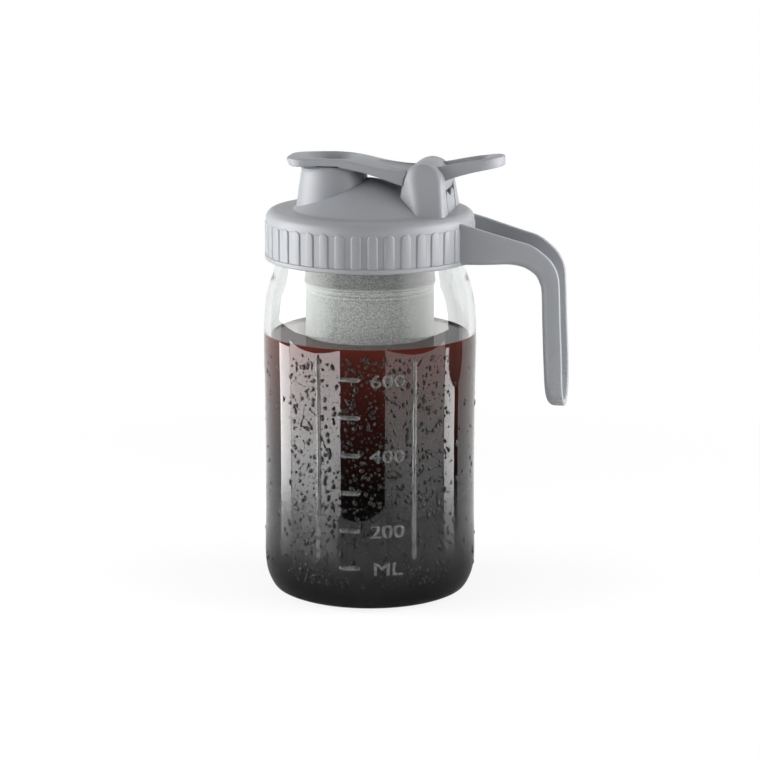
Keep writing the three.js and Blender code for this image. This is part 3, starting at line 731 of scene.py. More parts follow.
# The beads' grey tint is painted shade: it darkens the clear water, so the beads show darker on the glass.
water = clear_finish("water_bead", water_painted_shade, water_shade, water_ior, 0.0, water_ripple)
bm = bmesh.new()
rings = []
for rise, share in bead_rings:
    ring = []
    for step in range(bead_sides):
        angle = 2 * math.pi * (step + 0.5) / bead_sides
        droop = 1.0 if math.sin(angle) < 0 else bead_droop
        ring.append(bm.verts.new((share * math.cos(angle), share * droop * math.sin(angle), rise)))
    rings.append(ring)
tip = bm.verts.new((0, 0, bead_tip))
open_tube(bm, rings)
for here in range(bead_sides):
    bm.faces.new((rings[-1][here], rings[-1][(here + 1) % bead_sides], tip))
bm.faces.new(list(reversed(rings[0])))
bead = put("bead", mesh_of(bm, "bead"))

dew, given = growing("beads_on_glass", {
    "Bead": "NodeSocketObject", "Way": "NodeSocketVector", "Seed": "NodeSocketInt",
    **dict.fromkeys(["Density", "Apart", "Least", "Most"], "NodeSocketFloat"),
})


def chance(low, high, seed):
    """A number for each bead, between low and high."""
    made = add(dew, "FunctionNodeRandomValue", {2: low, 3: high, "Seed": seed}, data_type="FLOAT")
    return made.outputs[1]


level = vectors(dew, "MULTIPLY", add(dew, "GeometryNodeInputPosition").outputs[0], (1, 1, 0))
turned_to = vectors(dew, "DOT_PRODUCT", vectors(dew, "NORMALIZE", level), given["Way"])
wettest = maths(dew, "MAXIMUM", ranged(dew, turned_to, *wet_front), ranged(dew, turned_to, *wet_behind))
spots = add(dew, "GeometryNodeDistributePointsOnFaces", {
    "Mesh": given["Geometry"], "Distance Min": given["Apart"], "Density Max": given["Density"],
    "Density Factor": maths(dew, "ADD", wettest, wet_least), "Seed": given["Seed"],
}, distribute_method="POISSON")
outward = add(dew, "FunctionNodeAlignRotationToVector", {"Vector": spots.outputs["Normal"]}, axis="Z")
upward = add(dew, "FunctionNodeAlignRotationToVector", {
    "Rotation": outward.outputs[0], "Vector": (0, 0, 1),
}, axis="Y", pivot_axis="Z")
rarity = maths(dew, "POWER", chance(0.0, 1.0, 3), bead_rarity)
size = ranged(dew, rarity, 0.0, 1.0, given["Least"], given["Most"])
long = maths(dew, "MULTIPLY", size, chance(*bead_long, 5))
thick = maths(dew, "MINIMUM", maths(dew, "MULTIPLY", size, bead_thick_share), bead_thickest)
scale = add(dew, "ShaderNodeCombineXYZ", {"X": size, "Y": long, "Z": thick})
tilt = add(dew, "ShaderNodeCombineXYZ", {"Z": chance(-bead_tilt, bead_tilt, 7)})
tilt = add(dew, "FunctionNodeEulerToRotation", {0: tilt.outputs[0]})
tilted = add(dew, "FunctionNodeRotateRotation", {
    "Rotation": upward.outputs[0], "Rotate By": tilt.outputs[0],
}, rotation_space="LOCAL")
one_bead = add(dew, "GeometryNodeObjectInfo", {"Object": given["Bead"]})
beads = add(dew, "GeometryNodeInstanceOnPoints", {
    "Points": spots.outputs["Points"], "Instance": one_bead.outputs["Geometry"],
    "Rotation": tilted.outputs[0], "Scale": scale.outputs[0],
})
finish_tree(dew, beads.outputs[0], water)

bm = bmesh.new()
rings = []
for radius, height in [point for point in smooth_through(jar_outside) if wet_low < point[1] < wet_high]:
    angles = [2 * math.pi * step / turn_steps for step in range(turn_steps)]
    rings.append([bm.verts.new((radius * math.cos(a), radius * math.sin(a), height)) for a in angles])
open_tube(bm, rings)
wet_skin = bpy.data.meshes.new("wet_skin")
bm.to_mesh(wet_skin)
bm.free()
wet_area = 2 * math.pi * jar_radius * (wet_high - wet_low)
drops = grown(dew, wet_skin, {
    "Bead": bead, "Density": bead_count / wet_area * bead_spare, "Apart": bead_apart, "Seed": bead_seed,
    "Least": bead_least, "Most": bead_most, "Way": camera_way,
})
bpy.data.objects.remove(bead)
shown("condensation", drops, water, "jar", sharp=80)

# Filter tube: fine stainless gauze, rolled into a tube with a lap at the back.
# Rows of stitches run round it just below the doubled gauze, and it is a little out of round.
gauze_radius = 0.0282
gauze_wall = 0.0004
gauze_foot = 0.0139
gauze_top = 0.1645
gauze_rows = 60
gauze_dent = 0.00009
gauze_wire = (0.00052, 0.00005)
gauze_dark = (0.13, 0.13, 0.128, 1)
gauze_light = (0.52, 0.52, 0.51, 1)
lap_angle = math.radians(96)
lap_half = math.radians(6)
lap_step = math.radians(0.8)
hem_height = 0.1369
hem_half = 0.0026
hem_pitch = 0.0013
weave_share = 0.16
painted_glint_share = 2.2
painted_glint_scales = (1800.0, 4200.0)
gauze_shine = (0.42, 0.6)


def woven(name, dark, light, pitch, depth):
    """Fine gauze round the jar's axis: over and under wires, whose light and shade are painted into the
    colour, with painted glints from wire to wire.
    """
    made, tree = new_finish(name)
    place = on_piece(tree)
    middle = add(tree, "ShaderNodeMapping", {"Vector": place, "Location": (-jar_x, 0, 0)}).outputs[0]
    apart = add(tree, "ShaderNodeSeparateXYZ", {0: middle}).outputs
    angle = maths(tree, "ARCTAN2", apart["Y"], apart["X"])
    warp = maths(tree, "SINE", maths(tree, "MULTIPLY", angle, gauze_radius * 2 * math.pi / pitch))
    weft = maths(tree, "SINE", maths(tree, "MULTIPLY", apart["Z"], 2 * math.pi / pitch))
    weave = maths(tree, "MULTIPLY", warp, weft)
    # The specks are painted glints, and the weave's tone is painted light and shade on the wires; both are
    # put into the colour.
    coarse = noise(tree, place, painted_glint_scales[0], 2.0)
    fine = noise(tree, place, painted_glint_scales[1], 1.0)
    painted_glints = maths(tree, "MULTIPLY", coarse, fine)
    lit = maths(tree, "ADD", maths(tree, "MULTIPLY", weave, weave_share),
                maths(tree, "MULTIPLY", painted_glints, painted_glint_share))
    from_hem = maths(tree, "ABSOLUTE", maths(tree, "SUBTRACT", apart["Z"], hem_height))
    in_hem = maths(tree, "LESS_THAN", from_hem, hem_half)
    stitch = maths(tree, "SINE", maths(tree, "MULTIPLY", from_hem, 2 * math.pi / hem_pitch))
    row = maths(tree, "MULTIPLY", in_hem, maths(tree, "MAXIMUM", stitch, -0.3))
    lit = maths(tree, "ADD", lit, maths(tree, "MULTIPLY", row, weave_share))
    share = ranged(tree, lit, 0.32, 0.8)
    height = maths(tree, "MULTIPLY", maths(tree, "ADD", weave, painted_glints), depth)
    surface = add(tree, "ShaderNodeBsdfPrincipled", {
        "Base Color": blended_colour(tree, share, dark, light), "Metallic": 0.5,
        "Roughness": blended(tree, share, *gauze_shine), "Normal": uneven(tree, height),
    })
    add(tree, "ShaderNodeOutputMaterial", {"Surface": surface.outputs[0]})
    return made


def lap_rise(angle):
    """How far the gauze stands out where its two edges lap."""
    away = abs(math.remainder(angle - lap_angle, 2 * math.pi))
    return gauze_wall * min(1, max(0, (lap_half - away) / lap_step))


gauze_steel = woven("steel_gauze", gauze_dark, gauze_light, *gauze_wire)
rings = []
for inner in (False, True):
    heights = [gauze_foot + (gauze_top - gauze_foot) * row / gauze_rows for row in range(gauze_rows + 1)]
    for height in reversed(heights) if inner else heights:
        ring = []
        for step in range(turn_steps * 2):
            angle = math.pi * step / turn_steps
            dent = gauze_dent * math.sin(3 * angle + height * 70) * math.sin(height * 45)
            radius = gauze_radius + dent + lap_rise(angle) - (gauze_wall if inner else 0)
            ring.append((radius * math.cos(angle), radius * math.sin(angle), height))
        rings.append(ring)
tube = lofted("filter_gauze", rings, closed=True)
gauze = shown("filter_gauze", tube, gauze_steel, "filter")
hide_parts("filter_mesh")

# Filter band: the gauze doubled round the top of the tube.
# Three fine grooves are pressed round it at its lower edge.
band_wire = (0.00044, 0.00005)
band_dark = (0.09, 0.09, 0.088, 1)
band_light = (0.4, 0.4, 0.39, 1)
band_radius = 0.02866
band_groove = 0.0285
seam_foot = 0.1399
seam_pitch = 0.0007


def metres(points):
    """The same points, given in millimetres."""
    return [tuple(number / 1000 for number in point) for point in points]


band_steel = woven("doubled_gauze", band_dark, band_light, *band_wire)
profile = metres([(28.3, 139.5), (28.5, 139.3), (28.66, 139.6)])
for seam in range(3):
    height = seam_foot + seam * seam_pitch
    profile += [(band_radius, height), (band_groove, height + 0.0002)]
    profile += [(band_groove, height + 0.0004), (band_radius, height + 0.0006)]
profile += metres([(28.6, 142.3), (28.6, 164.4), (28.35, 164.5)])
band = shown("filter_top_band", turned("filter_top_band", profile), band_steel, "filter")
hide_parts("filter_band")

# Filter cup: a shallow cup pressed from steel sheet, which closes the foot of the tube.
# Its wall reaches up round the outside of the gauze.
steel_dark = (0.5, 0.5, 0.49, 1)
steel_light = (0.66, 0.66, 0.65, 1)

mottle = bpy.data.node_groups.new("mottle", "ShaderNodeTree")
for name, value in {
    "Dark": (0.2, 0.2, 0.2, 1), "Light": (0.3, 0.3, 0.3, 1), "Clouds": 30, "Grain": 1500,
    "Smooth": 0.3, "Rough": 0.5, "Depth": 0.00001,
}.items():
    kind = "NodeSocketColor" if isinstance(value, tuple) else "NodeSocketFloat"
    mottle.interface.new_socket(name, in_out="INPUT", socket_type=kind).default_value = value
for name, kind in {
    "Color": "NodeSocketColor", "Roughness": "NodeSocketFloat", "Height": "NodeSocketFloat",
}.items():
    mottle.interface.new_socket(name, in_out="OUTPUT", socket_type=kind)
given = add(mottle, "NodeGroupInput").outputs
place = on_piece(mottle)
clouds = noise(mottle, place, given["Clouds"], 4.0)
grain = noise(mottle, place, given["Grain"], 2.0)
spread = ranged(mottle, blended(mottle, 0.35, clouds, grain), 0.35, 0.65)
add(mottle, "NodeGroupOutput", {
    "Color": blended_colour(mottle, spread, given["Dark"], given["Light"]),
    "Roughness": blended(mottle, grain, given["Smooth"], given["Rough"]),
    "Height": maths(mottle, "MULTIPLY", grain, given["Depth"]),
})


def mottled(name, dark, light, clouds, grain, smooth, rough, depth, metal=0.0):
    """A finish whose colour, gloss and surface vary a little, as a real one does."""
    made, tree = new_finish(name)
    texture = add(tree, "ShaderNodeGroup", node_tree=mottle)
    for socket, value in zip(texture.inputs, [dark, light, clouds, grain, smooth, rough, depth]):
        socket.default_value = value
    surface = add(tree, "ShaderNodeBsdfPrincipled", {
        "Base Color": texture.outputs["Color"], "Roughness": texture.outputs["Roughness"],
        "Metallic": metal, "Normal": uneven(tree, texture.outputs["Height"]),
    })
    add(tree, "ShaderNodeOutputMaterial", {"Surface": surface.outputs[0]})
    return made


sheet_steel = mottled("pressed_steel", steel_dark, steel_light, 60, 900, 0.22, 0.34, 0.000004, metal=1.0)
profile = metres([
    (0, 14.2), (24.5, 14.2), (26.5, 13.4), (28.2, 13.0), (29.1, 13.9), (29.1, 19.2), (28.9, 19.6),
    (28.5, 19.6), (28.5, 14.5), (27.5, 14.2), (25.5, 14.9), (0, 14.9),
])
cup = shown("filter_cup", turned("filter_cup", profile), sheet_steel, "filter")
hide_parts("filter_base")

# Filter flange: a ring pressed from steel sheet, with a neck round the tube's top.
# It hangs the tube in the jar's mouth.
profile = filleted(metres([
    (29.9, 156.8, 0.2), (29.9, 164.8, 0.6), (40.9, 164.8, 0.2), (40.9, 165.5, 0.2), (29.3, 165.5, 1.0),
    (29.3, 156.8, 0.2),
]))
flange = shown("filter_flange", turned("filter_flange", profile), sheet_steel, "filter")
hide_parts("filter_rim")

# Flange seal: a white silicone ring with a slot all round its inner side.
# It is pushed over the flange's edge and seals it on the jar's mouth.
silicone_dark = (0.62, 0.62, 0.6, 1)
silicone_light = (0.74, 0.74, 0.72, 1)
silicone = mottled("white_silicone", silicone_dark, silicone_light, 45, 1400, 0.45, 0.6, 0.00001)
profile = filleted(metres([
    (38.9, 163.6, 0.4), (42.4, 163.6, 0.9), (42.4, 166.7, 0.9), (38.9, 166.7, 0.4), (38.9, 165.6),
    (41, 165.6), (41, 164.7), (38.9, 164.7),
]))
edge = shown("flange_seal", turned("flange_seal", profile), silicone, "filter")
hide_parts("filter_seal")

# Lid gasket: a flat silicone ring under the lid's top plate, with soft edges.
# It is punched from sheet and lies loose in the lid.
profile = filleted(metres([(37.8, 167, 0.3), (43, 167, 0.3), (43, 168.5, 0.3), (37.8, 168.5, 0.3)]))
gasket = shown("top_gasket", turned("top_gasket", profile), silicone, "gasket")
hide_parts("lid_gasket")

# Lid collar: a screw ring of satin grey plastic with 40 flat grip ribs and a thread inside.
# It is moulded in one with the dome, spout, hinge ears and handle.
rib_count = 40
rib_width = 0.0044
rib_sink = 0.0453
rib_face = 0.04595
rib_low = 0.1512
rib_high = 0.1662
rib_shift = 0.32
rib_steps = 12
rib_edge = [(rib_sink, 0), (rib_face - 0.00047, 0), (rib_face - 0.00005, 0.00042), (rib_face, 0.00058)]
collar_thread = (0.044, 0.15136, 0.0009, 0.0009)
plastic_dark = (0.245, 0.253, 0.27, 1)
plastic_light = (0.27, 0.279, 0.297, 1)
plastic = mottled("satin_grey_plastic", plastic_dark, plastic_light, 26, 2200, 0.38, 0.48, 0.00001)


def inset(outline, distance):
    """The same closed outline, drawn this much inside itself."""
    made = []
    area = sum(a[0] * b[1] - b[0] * a[1] for a, b in zip(outline, [*outline[1:], outline[0]]))
    for before, point, after in zip([outline[-1], *outline], outline, [*outline[1:], outline[0]]):
        here = Vector(point)
        way_in = (here - Vector(before)).normalized()
        way_on = (Vector(after) - here).normalized()
        left_in = Vector((-way_in.y, way_in.x))
        left_on = Vector((-way_on.y, way_on.x))
        middle = (left_in + left_on) / (1 + left_in.dot(left_on))
        made.append(tuple(here + middle * math.copysign(distance, area)))
    return made


circle, given = growing("parts_in_a_ring", {"Count": "NodeSocketInt"})
spots = add(circle, "GeometryNodePoints", {"Count": given["Count"]})
turn = maths(circle, "DIVIDE", 2 * math.pi, given["Count"])
number = maths(circle, "ADD", add(circle, "GeometryNodeInputIndex").outputs[0], rib_shift)
turned_by = add(circle, "ShaderNodeCombineXYZ", {"Z": maths(circle, "MULTIPLY", number, turn)})
rotation = add(circle, "FunctionNodeEulerToRotation", {0: turned_by.outputs[0]})
copies = add(circle, "GeometryNodeInstanceOnPoints", {
    "Points": spots.outputs[0], "Instance": given["Geometry"], "Rotation": rotation.outputs[0],
})
finish_tree(circle, copies.outputs[0], plastic)

half = rib_width / 2
outline = [(half, rib_low), (half, (rib_low + rib_high - half) / 2)]
for step in range(rib_steps + 1):
    angle = math.pi * step / rib_steps
    outline.append((half * math.cos(angle), rib_high - half + half * math.sin(angle)))
outline += [(-half, (rib_low + rib_high - half) / 2), (-half, rib_low)]
rings = []
for radius, inward in rib_edge:
    bent = []
    for across, up in inset(outline, inward):
        up = max(up, rib_low)
        bent.append((radius * math.cos(across / radius), radius * math.sin(across / radius), up))
    rings.append(bent)
ribs = grown(circle, lofted("grip_rib", rings), {"Count": rib_count})
collar_profile = filleted(metres([
    (43.9, 149.2, 0.3), (46.1, 149.2, 0.9), (46.1, 151.3, 0.35), (45.4, 151.5, 0.2), (45.4, 165.2, 0.2),
    (45.6, 165.6, 0.3), (45.6, 171, 4), (31, 171, 0.2), (31, 168.8, 0.2), (43.9, 168.8, 0.4),
]), steps=8)
ring = turned("lid_collar", collar_profile, steps=240)
inner_thread = ridge_at(*collar_thread)
collar = joined("lid_collar", [ring, ribs, inner_thread])
collar = shown("lid_collar", collar, plastic, "lid", sharp=28)
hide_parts("screw_collar")

# Lid dome: a shallow cone inside the collar's top face, under the pour spout.
# It is moulded in one with the collar, and the spout's bore goes through it.
dome_foot = (0.03376, 0.171)
dome_bend = (0.01215, 0.18324)
dome_top = 0.1846
dome_wall = 0.0022
dome_low = 0.1702
dome_lip = (0.0312, 0.0338)
spout_x = -0.016


def dome_curve(drop=0.0, steps=24):
    """The dome's side, from its foot to its tip, or a line this much under it."""
    made = []
    for step in range(steps + 1):
        t = step / steps
        radius = (1 - t) ** 2 * dome_foot[0] + 2 * t * (1 - t) * dome_bend[0]
        height = (1 - t) ** 2 * dome_foot[1] + 2 * t * (1 - t) * dome_bend[1] + t * t * dome_top
        made.append((max(0, radius - drop * (1 - t) ** 2), height - drop))
    return made


def in_triangles(mesh):
    """The same mesh in triangles, so that a cut can't leave it open."""
    bm = bmesh.new()
    bm.from_mesh(mesh)
    bmesh.ops.triangulate(bm, faces=bm.faces)
    bm.to_mesh(mesh)
    bm.free()
    return mesh


def cut(mesh, cutter, operation="DIFFERENCE"):
    """A mesh less another one, or joined with it."""
    whole = put("whole", in_triangles(mesh))
    tool = put("tool", in_triangles(cutter))
    carving = whole.modifiers.new("carving", "BOOLEAN")
    carving.operation = operation
    carving.solver = "EXACT"
    carving.object = tool
    made = as_mesh(whole)
    bpy.data.objects.remove(tool)
    return in_triangles(made)


bore = turned("bore", metres([(0, 150), (13.5, 150), (12.6, 189), (12.6, 200), (0, 200)]))
bore = moved(bore, x=spout_x)
under = dome_curve(drop=dome_wall)
profile = [*[(radius, dome_low) for radius in dome_lip], *dome_curve(), *reversed(under)]
profile = [point for point in profile if point[1] >= dome_low]
crown = shown("lid_crown", cut(turned("lid_crown", profile), bore), plastic, "lid")
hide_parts("lid_dome")

# Pour spout: a tapered tube that stands on the dome, with a fine bead under its rim.
# It is moulded in one with the dome, and ends flush with the dome's underside.
dome_hollow = [(0, 0.15), (0.032, 0.15), *[point for point in under if point[1] > 0.1695]]
profile = filleted(metres([
    (12.6, 190.1, 0.2), (13.3, 190.1, 0.3), (14.35, 188.95, 0.25), (14.35, 188.45, 0.15), (14.1, 188.2),
    (14.2, 187.9, 0.4), (16.9, 169.5), (15.2, 169.5),
]))
spout = moved(turned("lid_spout", profile), x=spout_x)
spout = cut(spout, turned("dome_hollow", dome_hollow))
spout = shown("lid_spout", spout, plastic, "lid")
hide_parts("pour_spout")

# Hinge ears: two uprights that flare out towards their feet, and a low wall behind the cap's barrel.
# They carry the barrel between them, and are moulded in one with the dome.
barrel_x = 0.0256
barrel_z = 0.1835
barrel_radius = 0.0093
ear_inner = 0.0112
ear_foot = 0.1702
ear_lean = (0.0022, 0.0016)
ear_steps = 10
ear_least = 0.0002
ear_upright = 0.0131
ear_front_round = 0.0035
ear_side_round = 0.009
ear_rear_round = 0.0028
ear_outs = metres([
    (170.2, 23.3), (171, 22.9), (172.8, 22.1), (175.6, 21.0), (178.8, 19.8), (182, 18.6), (185.2, 17.5),
    (188, 16.5), (190, 15.8), (191.3, 15.2), (192.2, 14.4), (192.7, 13.6), (193, 12.8),
])
wall_outline = metres([
    (-9.4, 170.5), (9.4, 170.5), (9.4, 178.0), (9.1, 178.8), (8.4, 179.4), (6.9, 180.1), (6.2, 180.1),
    (1.2, 177.8), (0, 177.6), (-1.2, 177.8), (-6.2, 180.1), (-6.9, 180.1), (-8.4, 179.4), (-9.1, 178.8),
    (-9.4, 178.0),
])
wall_layers = metres([(8.2, 0.25), (8.45, 0), (9.05, 0), (9.2, 0.08), (9.3, 0.25)])


def level_at(line, x):
    """The height of a line at this place."""
    for one, two in zip(line, line[1:]):
        if x <= two[0]:
            return one[1] + (two[1] - one[1]) * max(0, x - one[0]) / (two[0] - one[0])
    return line[-1][1]


ears = []
outs_line = smooth_through(ear_outs)
levels = [(ear_foot + (barrel_z - ear_foot) * step / ear_steps, barrel_radius) for step in range(ear_steps)]
for degrees in range(0, 88, 3):
    angle = math.radians(degrees)
    levels.append((barrel_z + barrel_radius * math.sin(angle), barrel_radius * math.cos(angle)))
for side in (-1, 1):
    rings = []
    for level, half in levels:
        share = max(0, barrel_z - level) / (barrel_z - ear_foot)
        front = barrel_x - half - ear_lean[0] * share
        rear = barrel_x + half + ear_lean[1] * share
        out = level_at(outs_line, level)
        slant = max(ear_least, min(out - ear_upright, half))
        front_round = min(ear_front_round, slant, half * 0.5)
        side_round = min(ear_side_round, slant * 2.3, half * 0.8)
        rear_round = min(ear_rear_round, half * 0.6, (out - ear_inner) * 0.6)
        section = filleted([
            (rear, ear_inner, ear_least), (front, ear_inner, ear_least), (front, out - slant, front_round),
            (front + slant * 1.05, out, side_round), (rear, out, rear_round),
        ], steps=7)
        rings.append([(x, side * y, level) for x, y in section])
    ears.append(lofted("hinge_ear", rings))
slope = ear_lean[1] / (barrel_z - ear_foot)
rings = []
for depth, inward in wall_layers:
    ring = inset(wall_outline, inward)
    rings.append([(barrel_x + depth + slope * (barrel_z - z), y, z) for y, z in ring])
ears.append(lofted("hinge_wall", rings))
bracket = joined("hinge_ears", [cut(part, turned("dome_hollow", dome_hollow)) for part in ears])
bracket = shown("hinge_ears", bracket, plastic, "lid")
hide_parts("hinge_bracket")

# Handle strap: a channel of the same plastic, open on its back and closed by a round lower end.
# It grows from the collar, moulded in one with it.
arm_wall = 0.0028
web_wall = 0.0025
finger_round = 0.0032
lip_round = 0.0006
web_round = 0.001
root_half = 0.0175
root_run = 0.052
root_extra = 0.004
strap_steps = 64
end_steps = 24
handle_sides = [
    (41.0, 168.0, 41.0, 149.6), (48.9, 165.9, 49.5, 149.7), (57.6, 163.3, 56.5, 149.9),
    (66.7, 160.7, 63.3, 150.1), (72.8, 158.8, 68.6, 149.2), (78.3, 155.0, 72.2, 147.4),
    (82.0, 151.1, 74.8, 145.1), (84.4, 146.0, 76.3, 141.8), (85.1, 139.3, 77.1, 138.0),
    (85.7, 124.0, 77.6, 123.7), (86.3, 111.7, 78.1, 111.4), (86.8, 96.3, 78.9, 96.0),
    (87.1, 86.4, 79.5, 86.4),
]
strap_table = smooth_through(metres(handle_sides), steps=10)
strap_run = [0.0]
for one, two in zip(strap_table, strap_table[1:]):
    step = math.hypot((two[0] + two[2] - one[0] - one[2]) / 2, (two[1] + two[3] - one[1] - one[3]) / 2)
    strap_run.append(strap_run[-1] + step)
strap_length = strap_run[-1]


def on_strap(run, y, rise):
    """The point at this distance along the strap, off its middle, and up from its finger side."""
    run = min(max(run, 0), strap_length)
    here = next(step for step in range(1, len(strap_run)) if strap_run[step] >= run)
    share = (run - strap_run[here - 1]) / (strap_run[here] - strap_run[here - 1])
    back_x, back_z, in_x, in_z = Vector(strap_table[here - 1]).lerp(Vector(strap_table[here]), share)
    thick = math.hypot(back_x - in_x, back_z - in_z)
    return (in_x + (back_x - in_x) * rise / thick, y, in_z + (back_z - in_z) * rise / thick), thick


def strap_half(run):
    """Half the strap's width, wider at its root."""
    share = min(1, run / root_run)
    return root_half - root_extra * (3 * share ** 2 - 2 * share ** 3)


def quarter(radius, steps):
    """How far a round corner of this radius stands in from each of its two sides, step by step."""
    angles = [math.pi / 2 / steps * step for step in range(steps + 1)]
    return [(radius * (1 - math.sin(a)), radius * (1 - math.cos(a))) for a in angles]


strap_end = strap_half(strap_length)
stations = []
for step in range(strap_steps):
    run = (strap_length - strap_end) * step / strap_steps
    stations.append((run, strap_half(run), 0.0, 1.0))
for step in range(end_steps + 1):
    angle = math.pi / 2 * step / end_steps
    way = (math.sin(angle), math.cos(angle))
    stations.append((strap_length - strap_end + strap_end * way[0], strap_end * way[1], *way))
rings = []
for run, y, along, across in stations:
    thick = on_strap(run, y, 0)[1]
    profile = quarter(finger_round, 8)
    profile += [(v, thick - u) for u, v in quarter(lip_round, 3)]
    profile += [(arm_wall - u, thick - v) for u, v in quarter(lip_round, 3)]
    profile += [(arm_wall + v, web_wall + u) for u, v in quarter(web_round, 3)]
    half_ring = []
    for inward, rise in profile:
        half_ring.append(on_strap(run - along * inward, max(0, y - across * inward), rise)[0])
    first, last = half_ring[0], half_ring[-1]
    half_ring = [(first[0], 0, first[2]), (first[0], first[1] / 2, first[2]), *half_ring]
    half_ring += [(last[0], last[1] / 2, last[2]), (last[0], 0, last[2])]
    rings.append([*half_ring, *[(x, -y, z) for x, y, z in reversed(half_ring)]])
collar_core = turned("collar_core", metres([(0, 140), (44.8, 140), (44.8, 180), (0, 180)]))
strap = cut(lofted("handle_strap", rings, capped=(True, False)), collar_core)
strap = shown("handle_strap", strap, plastic, "lid")
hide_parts("pour_handle")

# Flip cap: one moulding of plate, hollow plug, barrel and stub pins, which turns between the ears.
# The plate has a finger well over the spout and a shallow thumb dish in front of the hinge.
cap_half = 0.01425
cap_tip = -0.0358
cap_end = 0.0196
tip_corner = 0.009
end_corner = 0.001
tip_undercut = 0.0009
cap_round = 0.0007
soft_edge = 0.00022
slice_along = 0.0013
slice_shift = 0.00017
slice_across = 0.0016
ear_clear = 0.0097
dish_tip = 0.0029
dish_spread = 11.4
dish_middle = 0.025
dish_rear = 0.032
dish_half = 0.015
dish_layers = [
    (1.06, 6), (1.06, 0.6), (1.0, 0), (0.95, -0.6), (0.86, -1.1), (0.66, -1.6), (0.3, -1.9), (0.02, -2.0),
]
neck_half = 0.0109
neck_start = cap_end - 0.004
neck_end = 0.0256
neck_drop = 0.00004
cap_top = metres([
    (-37, 193.1), (-29.8, 193.45), (-22, 193.7), (-15.6, 193.75), (-9, 193.3), (-3.5, 192.4), (1.5, 191.3),
    (6.6, 190.3), (11, 189.6), (15.3, 189.1), (20, 189.2), (27, 190.0),
])
cap_under = metres([
    (-37, 190.0), (-32.2, 190.1), (-16.3, 190.5), (-11, 190.0), (-5.9, 189.2), (0.5, 187.9), (7.6, 185.9),
    (15.3, 183.3), (20, 182.5), (27, 182.0),
])
cap_crown = metres([(-37, 0.5), (-16, 0.8), (0, 1.3), (15.3, 1.8), (27, 1.8)])


def top_height(x, y, top_line):
    """The height of the cap's crowned top at this place."""
    return level_at(top_line, x) + level_at(cap_crown, x) * (1 - (y / cap_half) ** 2)


def plate(name, outline, undercut=0.0):
    """A closed plate of this outline between the cap's two lines. Its edges are round."""
    top_line = smooth_through(cap_top)
    under_line = smooth_through(cap_under)
    rings = [[(x, y, v) for x, y in inset(outline, u)] for u, v in quarter(cap_round, 8)]
    rings += [[(x, y, 1 - u) for x, y in inset(outline, v)] for u, v in quarter(cap_round, 8)]
    bm = bmesh.new()
    bm.from_mesh(lofted(name, rings))
    slices = [((step * slice_along + slice_shift, 0, 0), (1, 0, 0)) for step in range(-28, 21)]
    slices += [((0, (step + 0.5) * slice_across, 0), (0, 1, 0)) for step in range(-9, 9)]
    for spot, way in slices:
        whole = [*bm.verts, *bm.edges, *bm.faces]
        bmesh.ops.bisect_plane(bm, geom=whole, plane_co=spot, plane_no=way)
    for vert in bm.verts:
        x, y, level = vert.co
        if level < 0.5:
            x += undercut * max(0, (cap_tip + tip_corner - x) / tip_corner) ** 2
            vert.co = (x, y, level_at(under_line, x) + level)
        else:
            vert.co = (x, y, top_height(x, y, top_line) - 1 + level)
    bmesh.ops.triangulate(bm, faces=bm.faces)
    return mesh_of(bm, name)


def softened(mesh, width, degrees):
    """The same mesh with its creases rounded."""
    hard = put("hard", mesh)
    rounding = hard.modifiers.new("rounding", "BEVEL")
    rounding.width = width
    rounding.segments = 3
    rounding.angle_limit = math.radians(degrees)
    return as_mesh(hard)


def drawn_out(points, gap=0.0012):
    """The same line with points no further apart than this."""
    made = []
    for one, two in zip(points, points[1:]):
        one, two = Vector(one), Vector(two)
        count = max(1, math.ceil((two - one).length / gap))
        made += [tuple(one.lerp(two, step / count)) for step in range(count)]
    return [*made, tuple(points[-1])]


def arc(middle, radius, start, end, steps):
    """Points on an arc, between two angles in degrees."""
    made = []
    for step in range(steps + 1):
        angle = math.radians(start + (end - start) * step / steps)
        made.append((middle[0] + radius * math.cos(angle), middle[1] + radius * math.sin(angle)))
    return made


def mirrored(points):
    """The other half of an outline, in the order that closes it."""
    return [(x, -y) for x, y in reversed(points)]


def on_hinge(mesh, side=1):
    """The same mesh, laid from upright along the hinge's axis."""
    laid = Matrix.Rotation(side * math.pi / 2, 4, "X")
    mesh.transform(Matrix.Translation((barrel_x, 0, barrel_z)) @ laid)
    return mesh


half_line = [(cap_end, 0), (cap_end, cap_half - end_corner)]
half_line += arc((cap_end - end_corner, cap_half - end_corner), end_corner, 0, 90, 4)[1:]
half_line += arc((cap_tip + tip_corner, cap_half - tip_corner), tip_corner, 90, 180, 16)
half_line = drawn_out([*half_line, (cap_tip, 0)])
cap_plate = plate("cap_plate", [*half_line, *mirrored(half_line[1:-1])], undercut=tip_undercut)
neck_line = [(neck_end, neck_half), (neck_start, neck_half)]
neck_line += [(neck_start, -neck_half), (neck_end, -neck_half)]
cap_neck = plate("cap_neck", drawn_out(neck_line))
rings = []
rim_half = [(dish_tip + dish_spread * (step / 1000) ** 1.5, step / 1000) for step in range(1, 16)]
rim_line = [(dish_tip, 0), *rim_half, (dish_rear, dish_half), (dish_rear, -dish_half), *mirrored(rim_half)]
top_line = smooth_through(cap_top)
for share, rise in dish_layers:
    ring = [(dish_middle + (x - dish_middle) * share, y * share) for x, y in rim_line]
    rings.append([(x, y, top_height(x, y, top_line) + rise / 1000) for x, y in ring])
dish = lofted("thumb_dish", rings)
well = turned("finger_well", metres([
    (0, 186.2), (7.8, 186.2), (8.4, 186.5), (8.6, 187.1), (11.5, 192.2), (12.2, 193.6), (12.6, 194.1),
    (13.2, 194.5), (14.4, 195), (0, 195.2),
]))
